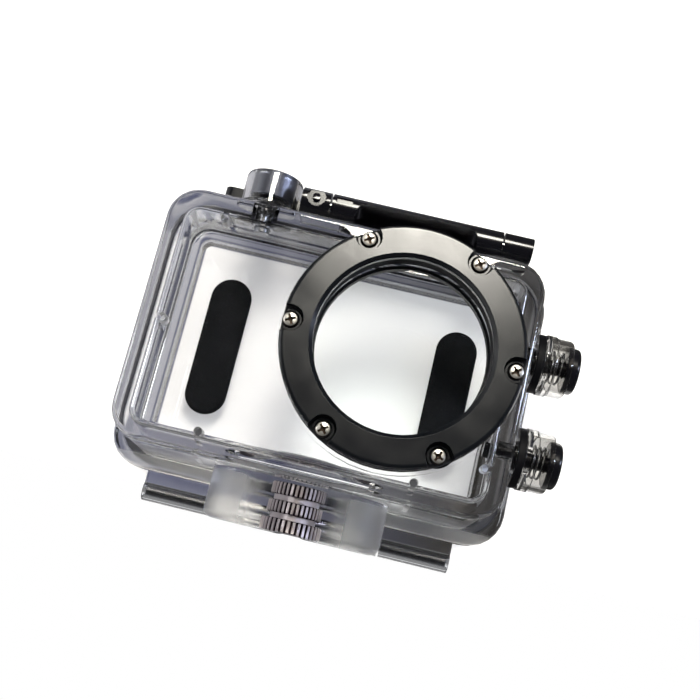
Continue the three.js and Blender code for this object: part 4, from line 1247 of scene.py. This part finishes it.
def white_part(tree, path, mirrored):
    """White paper with a glow that only the camera, glass and mirrors see."""
    seen = add_node(tree, "ShaderNodeMath", {0: path["Is Camera Ray"], 1: mirrored}, operation="MAXIMUM")[0]
    glow = add_node(tree, "ShaderNodeMath", {0: seen, 1: SHEET_GLOW}, operation="MULTIPLY")[0]
    return add_node(tree, "ShaderNodeAddShader", {
        0: add_node(tree, "ShaderNodeBsdfDiffuse", {"Color": hex_colour("#E6E6E6")})[0],
        1: add_node(tree, "ShaderNodeEmission", {"Color": hex_colour("#FFFCF8"), "Strength": glow})[0],
    })[0]


def white_sheet():
    material, tree, place = new_material("white_sheet")
    axes = add_node(tree, "ShaderNodeSeparateXYZ", {"Vector": place})
    path = add_node(tree, "ShaderNodeLightPath")
    mirrored = through_glass_or_mirrored(tree, path)
    direct = add_node(tree, "ShaderNodeMath", {0: 1.0, 1: mirrored}, operation="SUBTRACT")[0]
    shade = sheet_shade(tree, place, axes)
    white_share = add_node(tree, "ShaderNodeMath", {0: shade, 1: direct}, operation="MAXIMUM")[0]
    parts = {0: white_share, 1: shaded_part(tree, axes), 2: white_part(tree, path, mirrored)}
    finish_material(tree, add_node(tree, "ShaderNodeMixShader", parts)[0])
    return material


height = cad_box[0][2] - SHEET_GAP * MM
left, right = -SHEET_REACH * MM, SHEET_REACH * MM
front, back = SHEET_FRONT * MM, SHEET_REACH * MM
corners = [(left, front, height), (right, front, height), (right, back, height), (left, back, height)]
floor_mesh = bpy.data.meshes.new("white_sheet")
floor_mesh.from_pydata(corners, [], [(0, 1, 2, 3)])
floor = as_object(floor_mesh)
painted(floor, white_sheet())
print("the sheet ends at y, mm:", SHEET_FRONT)


# %% [markdown]
# ## The room
# The room gives an even, soft light from above. Glass and metal see another one: it is dim, with a
# pale wall to the left. Below the table it is grey, with a paler strip in front, which shows as
# bright lines in the lower walls of the case.

# %% World
BELOW_TABLE_TONE = 0.26
# Each band is on an axis of the direction: where the tone changes, and from what to what.
ROOM_BANDS = {
    "soft light": ("Z", (0.2, 0.9), 0.12, 0.9),
    "left wall": ("X", (-0.25, -0.8), 0.06, 0.7),
    "under the ceiling": ("Z", (0.35, 0.75), 1.0, 0.06),
    "below the table": ("Z", (0.0, -0.3), 0.0, 1.0),
    "strip start": ("Y", (-0.04, -0.1), 0.0, 0.7),
    "strip end": ("Y", (-0.3, -0.36), 1.0, 0.0),
}


def room_seen_in_mirrors(tree, tones):
    wall = {0: tones["left wall"], 1: tones["under the ceiling"]}
    strip = {0: tones["strip start"], 1: tones["strip end"], 2: BELOW_TABLE_TONE}
    return add_node(tree, "ShaderNodeMix", {
        SHARE: tones["below the table"],
        FIRST_VALUE: add_node(tree, "ShaderNodeMath", wall, operation="MULTIPLY")[0],
        SECOND_VALUE: add_node(tree, "ShaderNodeMath", strip, operation="MULTIPLY_ADD")[0],
    }, data_type="FLOAT")[0]


def studio_world():
    world = bpy.data.worlds.new("studio")
    world.use_nodes = True
    tree = world.node_tree
    tree.nodes.clear()
    direction = add_node(tree, "ShaderNodeTexCoord")["Generated"]
    axes = add_node(tree, "ShaderNodeSeparateXYZ", {"Vector": direction})
    tones = {
        name: add_node(tree, "ShaderNodeMapRange", fade(axes[axis], band, before, after))[0]
        for name, (axis, band, before, after) in ROOM_BANDS.items()
    }
    path = add_node(tree, "ShaderNodeLightPath")
    mirrored = through_glass_or_mirrored(tree, path)
    room = add_node(tree, "ShaderNodeMix", {
        SHARE: mirrored,
        FIRST_VALUE: tones["soft light"],
        SECOND_VALUE: room_seen_in_mirrors(tree, tones),
    }, data_type="FLOAT")[0]
    strength = add_node(tree, "ShaderNodeMath", {0: room, 1: path["Is Camera Ray"]}, operation="MAXIMUM")[0]
    light = {"Color": hex_colour("#FFFFFF"), "Strength": strength}
    backdrop = add_node(tree, "ShaderNodeBackground", light)[0]
    add_node(tree, "ShaderNodeOutputWorld", {"Surface": backdrop})
    return world


bpy.context.scene.world = studio_world()
print("made the room:", bpy.context.scene.world.name)


# %% [markdown]
# ## Lamps
# A large round softbox hangs behind the case and shines down, where the clamp ring and the latch
# mirror it. Two weak ones at the sides draw the outlines of the black pieces.

# %% Lamps
def soft_lamp(name, place_mm, target_mm, size_mm, watts, colour="#FFFFFF", shape="RECTANGLE"):
    data = bpy.data.lights.new(name, "AREA")
    data.color = hex_colour(colour)[:3]
    data.shape = shape
    data.size, data.size_y = (side * MM for side in size_mm)
    data.energy = watts
    lamp = bpy.data.objects.new(name, data)
    place = Vector(place_mm) * MM
    aim = (Vector(target_mm) * MM - place).to_track_quat("-Z", "Y")
    lamp.matrix_world = Matrix.Translation(place) @ aim.to_matrix().to_4x4()
    bpy.context.collection.objects.link(lamp)
    return lamp


CASE_MIDDLE = (0, 0, 10)
overhead_lamp = soft_lamp(
    "overhead_softbox",
    place_mm=(16, 300, 520),
    target_mm=(16, 300, 0),
    size_mm=(190, 262),
    watts=4.3,
    colour="#FFFBF0",
    shape="ELLIPSE",
)
overhead_lamp.visible_transmission = False
soft_lamp("left_softbox", (-480, 40, 320), CASE_MIDDLE, (100, 320), watts=0.6)
soft_lamp("right_strip", (480, 120, 260), CASE_MIDDLE, (50, 300), watts=1.2, colour="#DCE6FF")
print("lamps:", len(bpy.data.lights))


# %% View
bpy.context.scene.view_settings.view_transform = "Standard"
